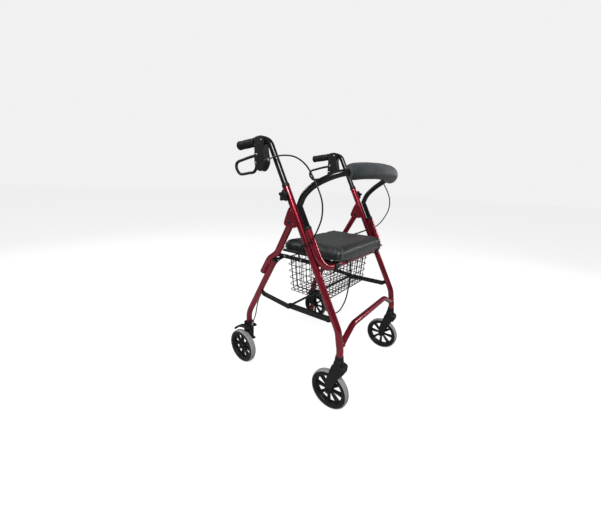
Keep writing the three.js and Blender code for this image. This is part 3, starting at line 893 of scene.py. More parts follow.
@dataclass
class Piece:
    """A finished shape and how it belongs to the model."""

    shape: bpy.types.Object
    body: str
    slot: Slot
    stands_for: tuple[str, ...] = ()
    bends: Optional[tuple[str, str, Vector, Vector]] = None
    soft: Optional[float] = None

    def on_right(self) -> "Piece":
        """Makes the right-hand piece of a left-hand one.

        Returns:
            The right-hand piece.
        """

        def swap(text: str) -> str:
            """Names the other side."""
            return text.replace("_left", "_right")

        copy = other_side(self.shape, swap(self.shape.name))
        bends = None
        if self.bends:
            one, two, start, end = self.bends
            flip = Matrix.Scale(-1, 4, (1, 0, 0))
            bends = (swap(one), swap(two), flip @ start, flip @ end)
        stands_for = tuple(swap(node) for node in self.stands_for)
        return Piece(copy, swap(self.body), self.slot, stands_for, bends, self.soft)


class Assembly:
    """What every sub-assembly shares."""

    def build(self) -> list[Piece]:
        """Builds the pieces of the sub-assembly."""
        raise NotImplementedError

    @staticmethod
    def pairs(pieces: Iterable[Piece]) -> list[Piece]:
        """Adds the right-hand piece of each left-hand one."""
        both: list[Piece] = []
        for piece in pieces:
            both += [piece, piece.on_right()]
        return both


@dataclass
class FrontFrame(Assembly):
    """The front legs, the tubes between them, and the brackets that carry the rear legs."""

    crossbar_r: float = 11
    u_bend_r: float = 50
    tab_r: float = 9
    tab_span: Flat = (251.15, 254.15)
    bracket_in: float = 13.05
    bracket_t: float = 2.5
    knob_at: float = 500

    def legs(self) -> list[Piece]:
        """Builds a leg with its brace tab, rivet, collar and foot plug.

        Returns:
            The finished pieces.
        """
        x, top = D.leg_x, at(D.leg_x, D.on_leg(D.leg_length))
        corners = [
            place(x, D.caster_y, D.leg_foot), place(x, D.caster_y, 246), at(x, D.leg_bend), top,
        ]
        tube = bent_tube("leg_tube_left", [rounded(corners, (70, 90))], D.tube_r, 8)
        collar = revolved(
            "leg_collar_left",
            [(-6, 12.8), (-6, 13.4), (-5, 13.7), (4, 13.7), (6.4, 13), (7, 12.2), (7, 11.4),
             (0.4, 11.4), (0.4, 12.8)],
            top, D.leg_axis(), hollow=True,
        )
        root, eye = D.front_eye()
        tab = slab("brace_tab_left", bar_outline(root, eye, self.tab_r), self.tab_span, 0.5)
        rivet = joined(
            "brace_rivet_left",
            [
                ball_end("head", at(240.6, eye), 5.5, 0.5, -X_AXIS),
                ball_end("tail", at(254.4, eye), 4.4, 0.5),
            ],
        )
        plug = revolved(
            "foot_ring_left",
            [(-3.4, 14.3), (-3.4, 15.4), (-1, 15.6), (7, 14.6), (11, 14.0), (12, 12.85), (1, 12.85),
             (0.4, 14.3)],
            place(x, D.caster_y, D.leg_foot), Z_AXIS, hollow=True,
        )
        knob_boss = revolved(
            "knob_nut_left", [(12, 9.2), (17.5, 9.2), (19, 8.2), (21, 8.0)],
            at(x, D.on_leg(self.knob_at)), X_AXIS, 6, smooth_to=20,
        )
        return self.pairs([
            Piece(tube, "frame", Slot.RED, ("front_leg_left",)),
            Piece(collar, "frame", Slot.MOULDED),
            Piece(tab, "frame", Slot.STEEL),
            Piece(rivet, "frame", Slot.STEEL),
            Piece(plug, "frame", Slot.MOULDED),
            Piece(knob_boss, "frame", Slot.MOULDED),
        ])

    def cross_tubes(self) -> list[Piece]:
        """Builds the low crossbar and the U-shaped tube that carries the seat.

        Returns:
            The finished pieces.
        """
        ends, knees = (D.leg_x - 4, -223.8, 260.1), (154, -219, 309)
        corners = [
            place(*ends), place(*knees), place(-knees[0], *knees[1:]), place(-ends[0], *ends[1:]),
        ]
        bar = bent_tube("crossbar_tube", [rounded(corners, (70, 70))], self.crossbar_r, 8)
        top, corner = D.on_leg(D.u_top, D.u_offset), D.on_leg(D.u_bottom, D.u_offset)
        x, r = D.leg_x, self.u_bend_r
        route = rounded([at(x, top), at(x, corner), at(-x, corner), at(-x, top)], (r, r))
        seat_tube = bent_tube("seat_tube", [route], D.tube_r, 8)
        collar = revolved(
            "seat_tube_collar_left",
            [(-5, 12.8), (-5, 13.3), (-4, 13.6), (3.4, 13.6), (5.4, 13), (6, 12.2), (6, 11.4),
             (0.4, 11.4), (0.4, 12.8)],
            at(x, top), D.leg_axis(), hollow=True,
        )
        seam = [at(x, D.on_leg(s, D.u_offset / 2)) for s in (296, 304, 312, 320, 328, 336, 344, 352)]
        beads = bent_tube(
            "seat_tube_weld_left",
            [[p + Vector((side * 6.2 * MM, 0, 0)) for p in seam] for side in (1, -1)], 2.6, 3,
        )
        heading = (place(*knees) - place(*ends)).normalized()
        weld = revolved(
            "crossbar_weld_left",
            [(-1, 11.2), (0, 12.8), (1.2, 13.6), (2.6, 13.2), (3.6, 12), (4.4, 11.1), (1, 10.8)],
            place(*ends) + heading * 10.8 * MM, heading, hollow=True,
        )
        return [
            Piece(bar, "frame", Slot.RED, ("lower_crossbar",)),
            Piece(seat_tube, "frame", Slot.RED, ("seat_u_tube",)),
            *self.pairs([
                Piece(collar, "frame", Slot.MOULDED),
                Piece(beads, "frame", Slot.RED),
                Piece(weld, "frame", Slot.RED),
            ]),
        ]

    def brackets(self) -> list[Piece]:
        """Builds the folded bracket behind a leg and the pin that the rear leg swings on.

        Returns:
            The finished pieces.
        """
        out = self.bracket_in + self.bracket_t
        x = D.leg_x
        side = [(2, 722), (13, 716), (33, 665), (31, 656), (22, 650), (-12, 648), (-33, 655), (-24, 674)]
        slot = [(-60, 735), (-2, 735), (9.5, 715), (29.5, 665), (29, 630), (-60, 630)]
        bracket = slab("hinge_plate_left", softened(side, 1), (x - out, x + out), 0)
        inner = slab("cutter", slot, (x - self.bracket_in, x + self.bracket_in), 0)
        bracket = eased(bored(bracket, inner), 0.6, 2)
        heads = [
            ball_end("head", at(x + out + 0.9, D.fold_pivot), 6.8, 0.5),
            ball_end("nut", at(x - out - 0.9, D.fold_pivot), 6.8, 0.5, -X_AXIS),
            revolved("shank", [(-out, 3), (out, 3)], at(x, D.fold_pivot), X_AXIS, 24),
        ]
        pin = joined("fold_bolt_left", heads)
        rivets = joined(
            "bracket_rivets_left",
            [
                ball_end("one", at(x + side_x, spot), 4, 0.5, X_AXIS * sign)
                for side_x, sign in ((out + 0.6, 1), (-out - 0.6, -1))
                for spot in ((-12, 659), (1, 708))
            ],
        )
        return self.pairs([
            Piece(bracket, "frame", Slot.RED, ("hinge_bracket_left",)),
            Piece(pin, "frame", Slot.STEEL, ("fold_pin_left",)),
            Piece(rivets, "frame", Slot.RED),
        ])

    def build(self) -> list[Piece]:
        """Builds the front frame."""
        return self.legs() + self.cross_tubes() + self.brackets()


@dataclass
class Wheel:
    """One wheel, drawn about its centre on the middle plane and copied to each place."""

    radius: float = 76
    spokes: int = 8
    arm_z: float = 34
    flare_z: float = 30
    spoke_size: Spot = (9, 7.6, 44)
    rib_size: Spot = (13.2, 2.6, 42)
    ring_profile: tuple[Flat, ...] = (
        (-10.4, 55), (-12, 57.4), (-12.5, 61), (-12.5, 66), (-12, 69.4), (-10.6, 70.6), (-9.2, 69.6),
        (-8.4, 67.4), (8.4, 67.4), (9.2, 69.6), (10.6, 70.6), (12, 69.4), (12.5, 66), (12.5, 61),
        (12, 57.4), (10.4, 55), (7, 53.4), (0, 53), (-7, 53.4),
    )
    hub_profile: tuple[Flat, ...] = (
        (-13.4, 4.6), (-13.4, 9.5), (-12.6, 10.8), (-9, 12.8), (-6.5, 15.4), (6.5, 15.4), (9, 12.8),
        (12.6, 10.8), (13.4, 9.5), (13.4, 4.6),
    )

    def arm(self, size: Spot, flare: Flat, edge: float, segments: int) -> bpy.types.Object:
        """Builds one block of a spoke, wider where it meets the ring.

        Args:
            size: its width, its thickness and its length, in millimetres.
            flare: how many times wider and thicker its outer end is.
            edge: the width of its bevels, in millimetres.
            segments: the bevels' segments.

        Returns:
            The block, above the wheel's centre.
        """
        clear_bench()
        bpy.ops.mesh.primitive_cube_add(size=1, location=(0, 0, self.arm_z * MM))
        block = bpy.context.object
        block.scale = [length * MM for length in size]
        bpy.ops.object.transform_apply(location=True, rotation=True, scale=True)
        for corner in block.data.vertices:
            if corner.co.z > self.flare_z * MM:
                corner.co.x *= flare[0]
                corner.co.y *= flare[1]
        return eased(block, edge, segments)

    def rim(self, name: str) -> bpy.types.Object:
        """Builds the moulded rim: a ring, a hub and spokes with a rib.

        Args:
            name: the name of the mesh object.

        Returns:
            The mesh object.
        """
        centre = Vector((0, 0, 0))
        ring = revolved("ring", self.ring_profile, centre, X_AXIS, 72, hollow=True)
        hub = revolved("hub", self.hub_profile, centre, X_AXIS, 40, hollow=True)
        spoke = self.arm(self.spoke_size, (1.7, 1.45), 1.6, 3)
        rib = self.arm(self.rib_size, (1.3, 1), 0.7, 2)
        spoke = joined("spoke", [spoke, rib])
        arms = [spoke]
        for i in range(1, self.spokes):
            turn = Matrix.Rotation(2 * math.pi * i / self.spokes, 4, "X")
            arms.append(copied(spoke, "spoke", turn))
        return joined(name, [ring, hub, *arms])

    def tyre(self, name: str) -> bpy.types.Object:
        """Builds the grey tyre, with rounded shoulders and two shallow grooves.

        Args:
            name: the name of the mesh object.

        Returns:
            The mesh object.
        """
        r, tread = self.radius, []
        for x, drop in ((-10.8, 3.4), (-9, 1.3), (-6.4, 0.35), (-5.2, 0.2), (-4.8, 1.1), (-3.6, 1.1),
                        (-3.2, 0.05), (0, 0)):
            tread.append((x, r - drop))
        tread += [(-x, z) for x, z in reversed(tread[:-1])]
        wall = [(-8.1, 67.8), (-8.9, 70.2), (-10.6, 71), (-12.4, 70.8), (-12.8, 71.6), (-12, 72.4)]
        profile = [*wall, *tread, *[(-x, z) for x, z in reversed(wall)], (0, 67.8)]
        return revolved(name, profile, Vector((0, 0, 0)), X_AXIS, 96, hollow=True, smooth_to=60)


@dataclass
class Wheels(Assembly):
    """The four wheels and the casters that carry the front pair."""

    fork_in: float = 15.5
    fork_out: float = 20
    axle_r: float = 4

    def wheels(self) -> list[Piece]:
        """Copies one rim and one tyre to the four places.

        Returns:
            The finished pieces.
        """
        wheel = Wheel()
        rim, tyre = wheel.rim("rim_form"), wheel.tyre("tyre_form")
        pieces: list[Piece] = []
        spots = {
            "front": place(D.leg_x, D.caster_y + D.caster_trail, D.wheel_r),
            "rear": place(D.rear_x, D.rear_y, D.wheel_r),
        }
        for end, spot in spots.items():
            move = Matrix.Translation(spot)
            for form, what, slot in ((rim, "rim", Slot.RIM), (tyre, "tyre", Slot.TYRE)):
                left = copied(form, f"{end}_{what}_shape_left", move)
                pieces.append(Piece(left, f"{end}_wheel_left", slot, (f"{end}_{what}_left",)))
        for form in (rim, tyre):
            bpy.data.objects.remove(form)
        return self.pairs(pieces)

    def fork(self) -> Piece:
        """Builds the moulded fork: a round crown, a bridge and two trailing blades.

        Returns:
            The finished piece.
        """
        hub = place(D.leg_x, D.caster_y, 0)
        crown = revolved(
            "crown",
            [(157.4, 15), (157.4, 16.5), (160, 18.5), (166, 20), (192, 20), (199, 19.2), (205, 17.6),
             (209.5, 16.6), (211.5, 15.4), (212.4, 13.5), (212.4, 5.6), (157.4, 5.6)],
            hub, Z_AXIS, 48, hollow=True,
        )
        y, x = D.caster_y, D.leg_x
        blade_line = [(-22, 196), (-27, 186), (-20, 168), (-6, 140), (8, 104)]
        for deg in (150, 190, 230, 270, 310, 350, 30):
            a = math.radians(deg)
            blade_line.append((D.caster_trail + 12 * math.cos(a), D.wheel_r + 12 * math.sin(a)))
        blade_line += [(40, 110), (34, 140), (24, 168), (18, 196)]
        outline = softened([(y + dy, z) for dy, z in blade_line], 2)
        bore = [((y + D.caster_trail, D.wheel_r), self.axle_r + 0.3)]
        blades = [
            slab("blade", outline, span, 1.4, 3, bore)
            for span in (
                (x - self.fork_out, x - self.fork_in), (x + self.fork_in, x + self.fork_out),
            )
        ]
        bridge_line = [(-24, 194), (-27.5, 186), (-23, 170), (-15, 158), (-4, 159), (10, 159), (27, 159),
                       (25, 170), (18, 195), (0, 200)]
        bridge = slab(
            "bridge", softened([(y + dy, z) for dy, z in bridge_line], 2),
            (x - self.fork_out + 0.2, x + self.fork_out - 0.2), 3, 3,
        )
        lip = slab(
            "lip", softened([(y + dy, z) for dy, z in ((-26, 188), (-29.5, 182), (-25, 166), (-19, 158),
                                                         (-16, 166), (-20, 184))], 2),
            (x - 13, x + 13), 1.2, 2,
        )
        shape = joined("fork_shape_left", [crown, bridge, lip, *blades])
        return Piece(shape, "caster_left", Slot.MOULDED, ("caster_fork_left",))

    def axles(self) -> list[Piece]:
        """Builds the caster's axle with its nuts, and the stem with its bearing washers.

        Returns:
            The finished pieces.
        """
        centre = place(D.leg_x, D.caster_y + D.caster_trail, D.wheel_r)
        out = self.fork_out
        axle = joined(
            "front_bolt_left",
            [
                revolved("rod", [(-out - 1, self.axle_r), (out + 1, self.axle_r)], centre, X_AXIS, 24),
                revolved("head", [(out + 0.4, 7), (out + 2.6, 7), (out + 3.6, 5.6), (out + 3.9, 3)],
                         centre, X_AXIS, 28),
                revolved("nut", [(-out - 0.4, 7), (-out - 3.4, 7), (-out - 4.2, 6)],
                         centre, X_AXIS, 6, smooth_to=20),
            ],
        )
        stem = revolved(
            "stem_shape_left",
            [(176, 4.9), (212.9, 4.9), (213.3, 13.6), (214.3, 14), (216.2, 14), (216.7, 13.2), (216.7, 10.4),
             (236.5, 10.2)],
            place(D.leg_x, D.caster_y, 0), Z_AXIS, 36,
        )
        return [
            Piece(axle, "caster_left", Slot.STEEL, ("front_axle_left",)),
            Piece(stem, "frame", Slot.ZINC, ("caster_stem_left",)),
        ]

    def build(self) -> list[Piece]:
        """Builds the wheels and the casters."""
        return self.wheels() + self.pairs([self.fork(), *self.axles()])


@dataclass
class RearFrame(Assembly):
    """The rear legs with their axles, and the folding braces."""

    foot: Flat = (248, 58)
    link_front: Flat = (241, 250.8)
    link_r: float = 10
    link_rear: Flat = (252.2, 257)
    brace_z: float = 363

    def stud(self) -> Flat:
        """Gives the place of the stud that the seat rests on."""
        return D.on_rear(174, -4)

    def rear_eye(self) -> tuple[Flat, Flat]:
        """Gives the place on the leg and the eye of the rear brace tab.

        Returns:
            The place on the leg and the eye.
        """
        top = D.on_rear(178, -3)
        share = (top[1] - self.brace_z) / (top[1] - D.rear_bend[1])
        y = top[0] + share * (D.rear_bend[0] - top[0])
        eye = (
            y - D.brace_eye * math.cos(D.rear_angle), self.brace_z - D.brace_eye * math.sin(D.rear_angle),
        )
        return (y, self.brace_z), eye

    def legs(self) -> list[Piece]:
        """Builds the two tubes of a leg with their plugs, stud, bolts and tab.

        Returns:
            The finished pieces.
        """
        x = D.leg_x
        upper_corners = [
            at(x, D.on_rear(*spot)) for spot in ((-7,), (146,), (192, 22), (262, 24.8))
        ]
        upper_route = rounded(upper_corners, (60, 60))
        lower_corners = [at(x, D.on_rear(178, -3)), at(x, D.rear_bend), at(x, self.foot)]
        lower_route = rounded(lower_corners, (90,))
        upper = bent_tube("rear_upper_tube_left", [upper_route], D.tube_r, 8)
        lower = bent_tube("rear_lower_tube_left", [lower_route], D.tube_r, 8)
        ends = []
        for end, inner in (
            (upper_route[-1], upper_route[-2]), (lower_route[0], lower_route[1]),
            (lower_route[-1], lower_route[-2]),
        ):
            ends.append(revolved(
                "plug", [(-1, 12.9), (1.4, 12.9), (3, 12), (4, 9.8), (4.3, 6)], end, end - inner, 32,
            ))
        plugs = joined("tube_plugs_left", ends)
        stud = revolved(
            "seat_stud_left",
            [(-1, 5), (36, 5), (37, 4.2), (46, 4.2), (46.4, 5), (47.6, 5), (48, 4.2)],
            at(x, self.stud()), -X_AXIS, 24,
        )
        spots = [D.on_rear(s, o) for s, o in ((196, 4), (240, 11))]
        bolts = joined(
            "leg_bolts_left",
            [ball_end("bolt", at(x + side * 13.1, spot), 4.6, 0.6, X_AXIS * side)
             for side in (1, -1) for spot in spots],
        )
        root, eye = self.rear_eye()
        tab = slab(
            "rear_tab_left", bar_outline(root, eye, 9),
            (self.link_rear[0] - 3.35, self.link_rear[0] - 0.35), 0.5,
        )
        rivet = joined(
            "rear_rivet_left",
            [
                ball_end("head", at(257.5, eye), 5.5, 0.45),
                ball_end("tail", at(248.4, eye), 4.4, 0.45, -X_AXIS),
            ],
        )
        centre = place(x, D.rear_y, D.wheel_r)
        axle = joined(
            "rear_bolt_left",
            [
                revolved("rod", [(-14, 4), (52.5, 4)], centre, X_AXIS, 24),
                revolved("spacer", [(13.2, 8), (22.8, 8)], centre, X_AXIS, 32),
                revolved("nut", [(-13.2, 7), (-17, 7), (-17.9, 6)], centre, X_AXIS, 6, smooth_to=20),
                revolved("head", [(50.9, 7), (53.6, 7), (54.9, 5.6), (55.2, 3)], centre, X_AXIS, 28),
            ],
        )
        return self.pairs([
            Piece(upper, "rear_frame", Slot.RED, ("rear_leg_upper_left",)),
            Piece(lower, "rear_frame", Slot.RED, ("rear_leg_lower_left",)),
            Piece(plugs, "rear_frame", Slot.MOULDED),
            Piece(stud, "rear_frame", Slot.STEEL),
            Piece(bolts, "rear_frame", Slot.RED),
            Piece(tab, "rear_frame", Slot.STEEL),
            Piece(rivet, "rear_frame", Slot.STEEL),
            Piece(axle, "rear_frame", Slot.STEEL, ("rear_axle_left",)),
        ])

    def braces(self) -> list[Piece]:
        """Builds the folding links, their middle rod and its end nuts.

        Returns:
            The finished pieces.
        """
        front_eye, rear_eye = D.front_eye()[1], self.rear_eye()[1]
        joint, hole = D.brace_joint, 3.3
        front = slab(
            "front_link_shape_left", bar_outline(front_eye, joint, self.link_r), self.link_front, 0.7, 2,
            [(front_eye, hole)],
        )
        rear = slab(
            "rear_link_shape_left", bar_outline(rear_eye, joint, self.link_r), self.link_rear, 0.7, 2,
            [(rear_eye, hole)],
        )
        rod = bent_tube("brace_rod_shape", [[at(-245.8, joint), at(245.8, joint)]], 4.5, 6)
        nut = revolved(
            "brace_sleeve_left", [(233, 4.7), (233, 7), (234, 7.6), (244, 7.6), (245.6, 7), (245.6, 4.7)],
            at(0, joint), X_AXIS, 28, hollow=True,
        )
        return [
            Piece(rod, "brace_front", Slot.STEEL, ("brace_rod",)),
            *self.pairs([
                Piece(front, "brace_front", Slot.STEEL, ("front_link_left",)),
                Piece(nut, "brace_front", Slot.STEEL),
                Piece(rear, "brace_rear_left", Slot.STEEL, ("rear_link_left",)),
            ]),
        ]

    def build(self) -> list[Piece]:
        """Builds the rear frame."""
        return self.legs() + self.braces()


@dataclass
class Brakes(Assembly):
    """The rear brake: a moulded block on the leg and an arm over the tyre."""

    pivot: Flat = (225, 173)
    arm_steps: int = 18
    arm_from: float = 108
    arm_sweep: float = 58
    arm_reach: float = 97
    arm_closing: float = 16.5
    arm_wall: Flat = (0.1, 8.8)

    def build(self) -> list[Piece]:
        """Builds the block and the arm.

        Returns:
            The finished pieces.
        """
        x = D.leg_x
        block = slab(
            "block", softened([(231, 190), (265, 190), (265, 97), (231, 97)], 1), (x - 15.5, x + 15), 1.8, 3
        )
        ears = [
            slab("ear", softened(outline, 1), (x + low, x + high), 0.8)
            for outline, low, high in (
                ([(216, 181), (236, 187), (236, 158), (218, 162)], 4, 15),
                ([(203, 181), (236, 186), (236, 172), (205, 172)], -9, 1),
                ([(208, 117), (236, 122), (236, 106), (208, 109)], -5, 5),
            )
        ]
        band = [
            slab("band", softened([(y0, z0), (y1, z0), (y1, z1), (y0, z1)], 1), (x - 16, x + 15.2), 0.5)
            for y0, y1, z0, z1 in ((230.6, 265.4, 177, 184), (230.6, 265.4, 103, 110))
        ]
        inner, outer = [], []
        for i in range(self.arm_steps + 1):
            share = i / self.arm_steps
            a = math.radians(self.arm_from - self.arm_sweep * share)
            r = self.arm_reach - self.arm_closing * share
            for line, reach in ((inner, r + self.arm_wall[0]), (outer, r + self.arm_wall[1])):
                line.append((D.rear_y + reach * math.cos(a), D.wheel_r + reach * math.sin(a)))
        bar = slab("bar", inner + outer[::-1], (D.rear_x - 19.3, D.rear_x + 3.8), 1.2, 2)
        boss = revolved(
            "boss", [(x + 15.4, 8), (D.rear_x + 5, 8), (D.rear_x + 6, 7)], at(0, self.pivot), X_AXIS, 32
        )
        lug = slab("lug", bar_outline(self.pivot, (205, 179), 5, 8), (x + 15.5, x + 21.8), 0.6)
        bolt = ball_end("bolt", at(D.rear_x + 6.4, self.pivot), 5, 0.6)
        arm = joined("brake_arm_shape_left", [bar, boss, lug])
        body = joined("brake_block_body_left", [block, *ears, *band])
        return self.pairs([
            Piece(body, "rear_frame", Slot.MOULDED, ("brake_block_left",)),
            Piece(arm, "brake_arm_left", Slot.STEEL, ("brake_arm_left",)),
            Piece(bolt, "brake_arm_left", Slot.STEEL),
        ])


@dataclass
class Handles(Assembly):
    """The sliding handle tubes, their grips, the brake housings and levers, and the knobs."""

    bend: Flat = (124, 948)
    end: Flat = (283, 935)
    inset: float = 210
    lever_pivot: Flat = (174, 898)
    nozzle_x: float = 262
    knob_at: float = 500
    knob_r: float = 21
    grip_y: float = 193
    grip_slope: float = 1.0033
    loop_r: float = 5.3
    loop_flat: float = 1.18

    def grip_axis(self) -> Vector:
        """Gives the direction along the grip, towards its end."""
        return (at(0, self.end) - at(0, self.bend)).normalized()

    def tube(self) -> Piece:
        """Builds the bent handle tube."""
        x = D.leg_x
        corners = [at(x, D.on_leg(D.leg_length - self.inset)), at(x, self.bend), at(x, self.end)]
        tube = bent_tube("handle_shape_left", [rounded(corners, (38,), 5)], D.inner_r, 8)
        return Piece(tube, "handle_left", Slot.TUBE, ("handle_tube_left",))

    def grip(self) -> Piece:
        """Builds the ribbed grip, with a collar at the front and a rounded end.

        Returns:
            The finished piece.
        """
        ahead = (self.grip_y - self.bend[0]) * self.grip_slope
        start = at(D.leg_x, self.bend) + self.grip_axis() * ahead * MM
        rings: list[Flat] = [(0, 11.4), (0, 15.6), (1, 16.5), (4, 16.9), (6, 16.3), (8, 15.2)]
        ribs, pitch = 15, 4.7
        for i in range(ribs):
            s = 10 + i * pitch
            swell = 15.4 + 0.9 * math.sin(math.pi * (i + 1) / (ribs + 1)) ** 0.8
            end = s + pitch
            rings += [(s, swell - 0.7), (s + 0.7, swell), (end - 1.5, swell), (end - 0.8, swell - 0.7)]
        rings += [(82.5, 15.6), (84.5, 16.5), (91, 16.7), (93.2, 16), (94.4, 14.2), (94.8, 11), (94.9, 5)]
        shape = revolved("grip_shape_left", rings[1:], start, self.grip_axis(), 44)
        return Piece(shape, "handle_left", Slot.GRIP, ("grip_left",))

    def housing(self) -> list[Piece]:
        """Builds the brake housing, its nozzle, screws and cable adjuster.

        Returns:
            The finished pieces.
        """
        x = D.leg_x
        outline = [(146, 962), (186, 959), (190, 944), (187, 920), (188, 878), (184, 856), (172, 842),
                   (156, 838), (140, 848), (130, 866), (130, 884), (138, 912), (140, 946)]
        body = slab("body", softened(outline, 2), (x - 14.5, x + 14.5), 0)
        slot = slab("cutter", [(152, 800), (200, 800), (200, 917), (152, 917)], (x - 6.5, x + 6.5), 0)
        body = eased(bored(body, slot), 2.2, 3)
        split = slab(
            "split", softened([(141, 930), (189, 927), (189, 931), (141, 934)], 1), (x - 14.9, x + 14.9), 0.4
        )
        direction = (place(0, 114, 879) - place(0, 134, 874)).normalized()
        nozzle = revolved(
            "nozzle", [(-2, 5.4), (8, 5.2), (13, 4.4), (16, 4.2)],
            place(self.nozzle_x, 134, 874), direction, 28,
        )
        shape = joined("housing_shape_left", [body, split, nozzle])
        adjuster = revolved(
            "cable_adjuster_left",
            [(15.6, 2.8), (15.6, 3.6), (16.2, 4.4), (18.4, 4.4), (18.8, 3.6), (19.4, 4.4), (21.4, 4.4),
             (22, 3.4), (24, 3.2), (24, 2.8)],
            place(self.nozzle_x, 134, 874), direction, 24, hollow=True,
        )
        out = 14.5
        screws = joined(
            "housing_screws_left",
            [
                ball_end("screw", at(x + side * (out + 0.2), spot), r, 0.45, X_AXIS * side)
                for side in (1, -1)
                for spot, r in ((self.lever_pivot, 4.2), ((178, 868), 3.2), ((152, 946), 3.2))
            ],
        )
        return [
            Piece(shape, "handle_left", Slot.MOULDED, ("brake_housing_left",)),
            Piece(adjuster, "handle_left", Slot.ZINC),
            Piece(screws, "handle_left", Slot.ZINC),
        ]

    def lever(self) -> Piece:
        """Builds the looped lever as a swept flat section with a boss at its pivot.

        Returns:
            The finished piece.
        """
        x = D.leg_x
        line = [(178, 896), (206, 894), (240, 888.5), (272, 882), (298, 876), (307.5, 868.5), (309, 853),
                (302, 841.5), (286, 829.5), (262, 829.5), (234, 833), (207, 836), (196, 844), (188, 862),
                (178, 884)]
        route = flowing([at(x, spot) for spot in line], 4)
        loop = bent_tube("loop", [route], self.loop_r, 5)
        for corner in loop.data.vertices:
            corner.co.x = x * MM + (corner.co.x - x * MM) * self.loop_flat
        eye = revolved(
            "eye", [(-5.4, 2.9), (-5.4, 7.6), (-4.6, 8.6), (4.6, 8.6), (5.4, 7.6), (5.4, 2.9)],
            at(x, self.lever_pivot), X_AXIS, 32, hollow=True,
        )
        web = slab("web", softened([(172, 900), (186, 897), (192, 878), (184, 868), (176, 878)], 2),
                   (x - 4.6, x + 4.6), 1)
        shape = joined("lever_shape_left", [loop, eye, web])
        return Piece(shape, "lever_left", Slot.MOULDED, ("brake_lever_left",))

    def knob(self) -> Piece:
        """Builds the five-lobed knob with its hub and bolt.

        Returns:
            The finished piece.
        """
        x, lobes, steps = D.leg_x, 5, 80
        centre = D.on_leg(self.knob_at)
        outline: list[Flat] = []
        for i in range(steps):
            a = 2 * math.pi * i / steps
            r = self.knob_r - 3.4 + 3.4 * math.cos(lobes * a)
            outline.append((centre[0] + r * math.sin(a), centre[1] + r * math.cos(a)))
        star = slab("star", outline, (x + 22.2, x + 35), 2.4, 3)
        crown = revolved(
            "crown", [(30, 12), (35.2, 12), (36, 11.2), (36, 7), (35.2, 6.2)], at(x, centre), X_AXIS, 40
        )
        hub = revolved("hub", [(13.2, 8), (21, 8.6), (23, 10)], at(x, centre), X_AXIS, 36)
        bolt = revolved("bolt", [(11.5, 3.9), (14, 3.9)], at(x, centre), X_AXIS, 24)
        shape = joined("knob_shape_left", [star, crown, hub, bolt])
        return Piece(shape, "knob_left", Slot.MOULDED, ("height_knob_left",))

    def build(self) -> list[Piece]:
        """Builds both handles."""
        return self.pairs([self.tube(), self.grip(), *self.housing(), self.lever(), self.knob()])


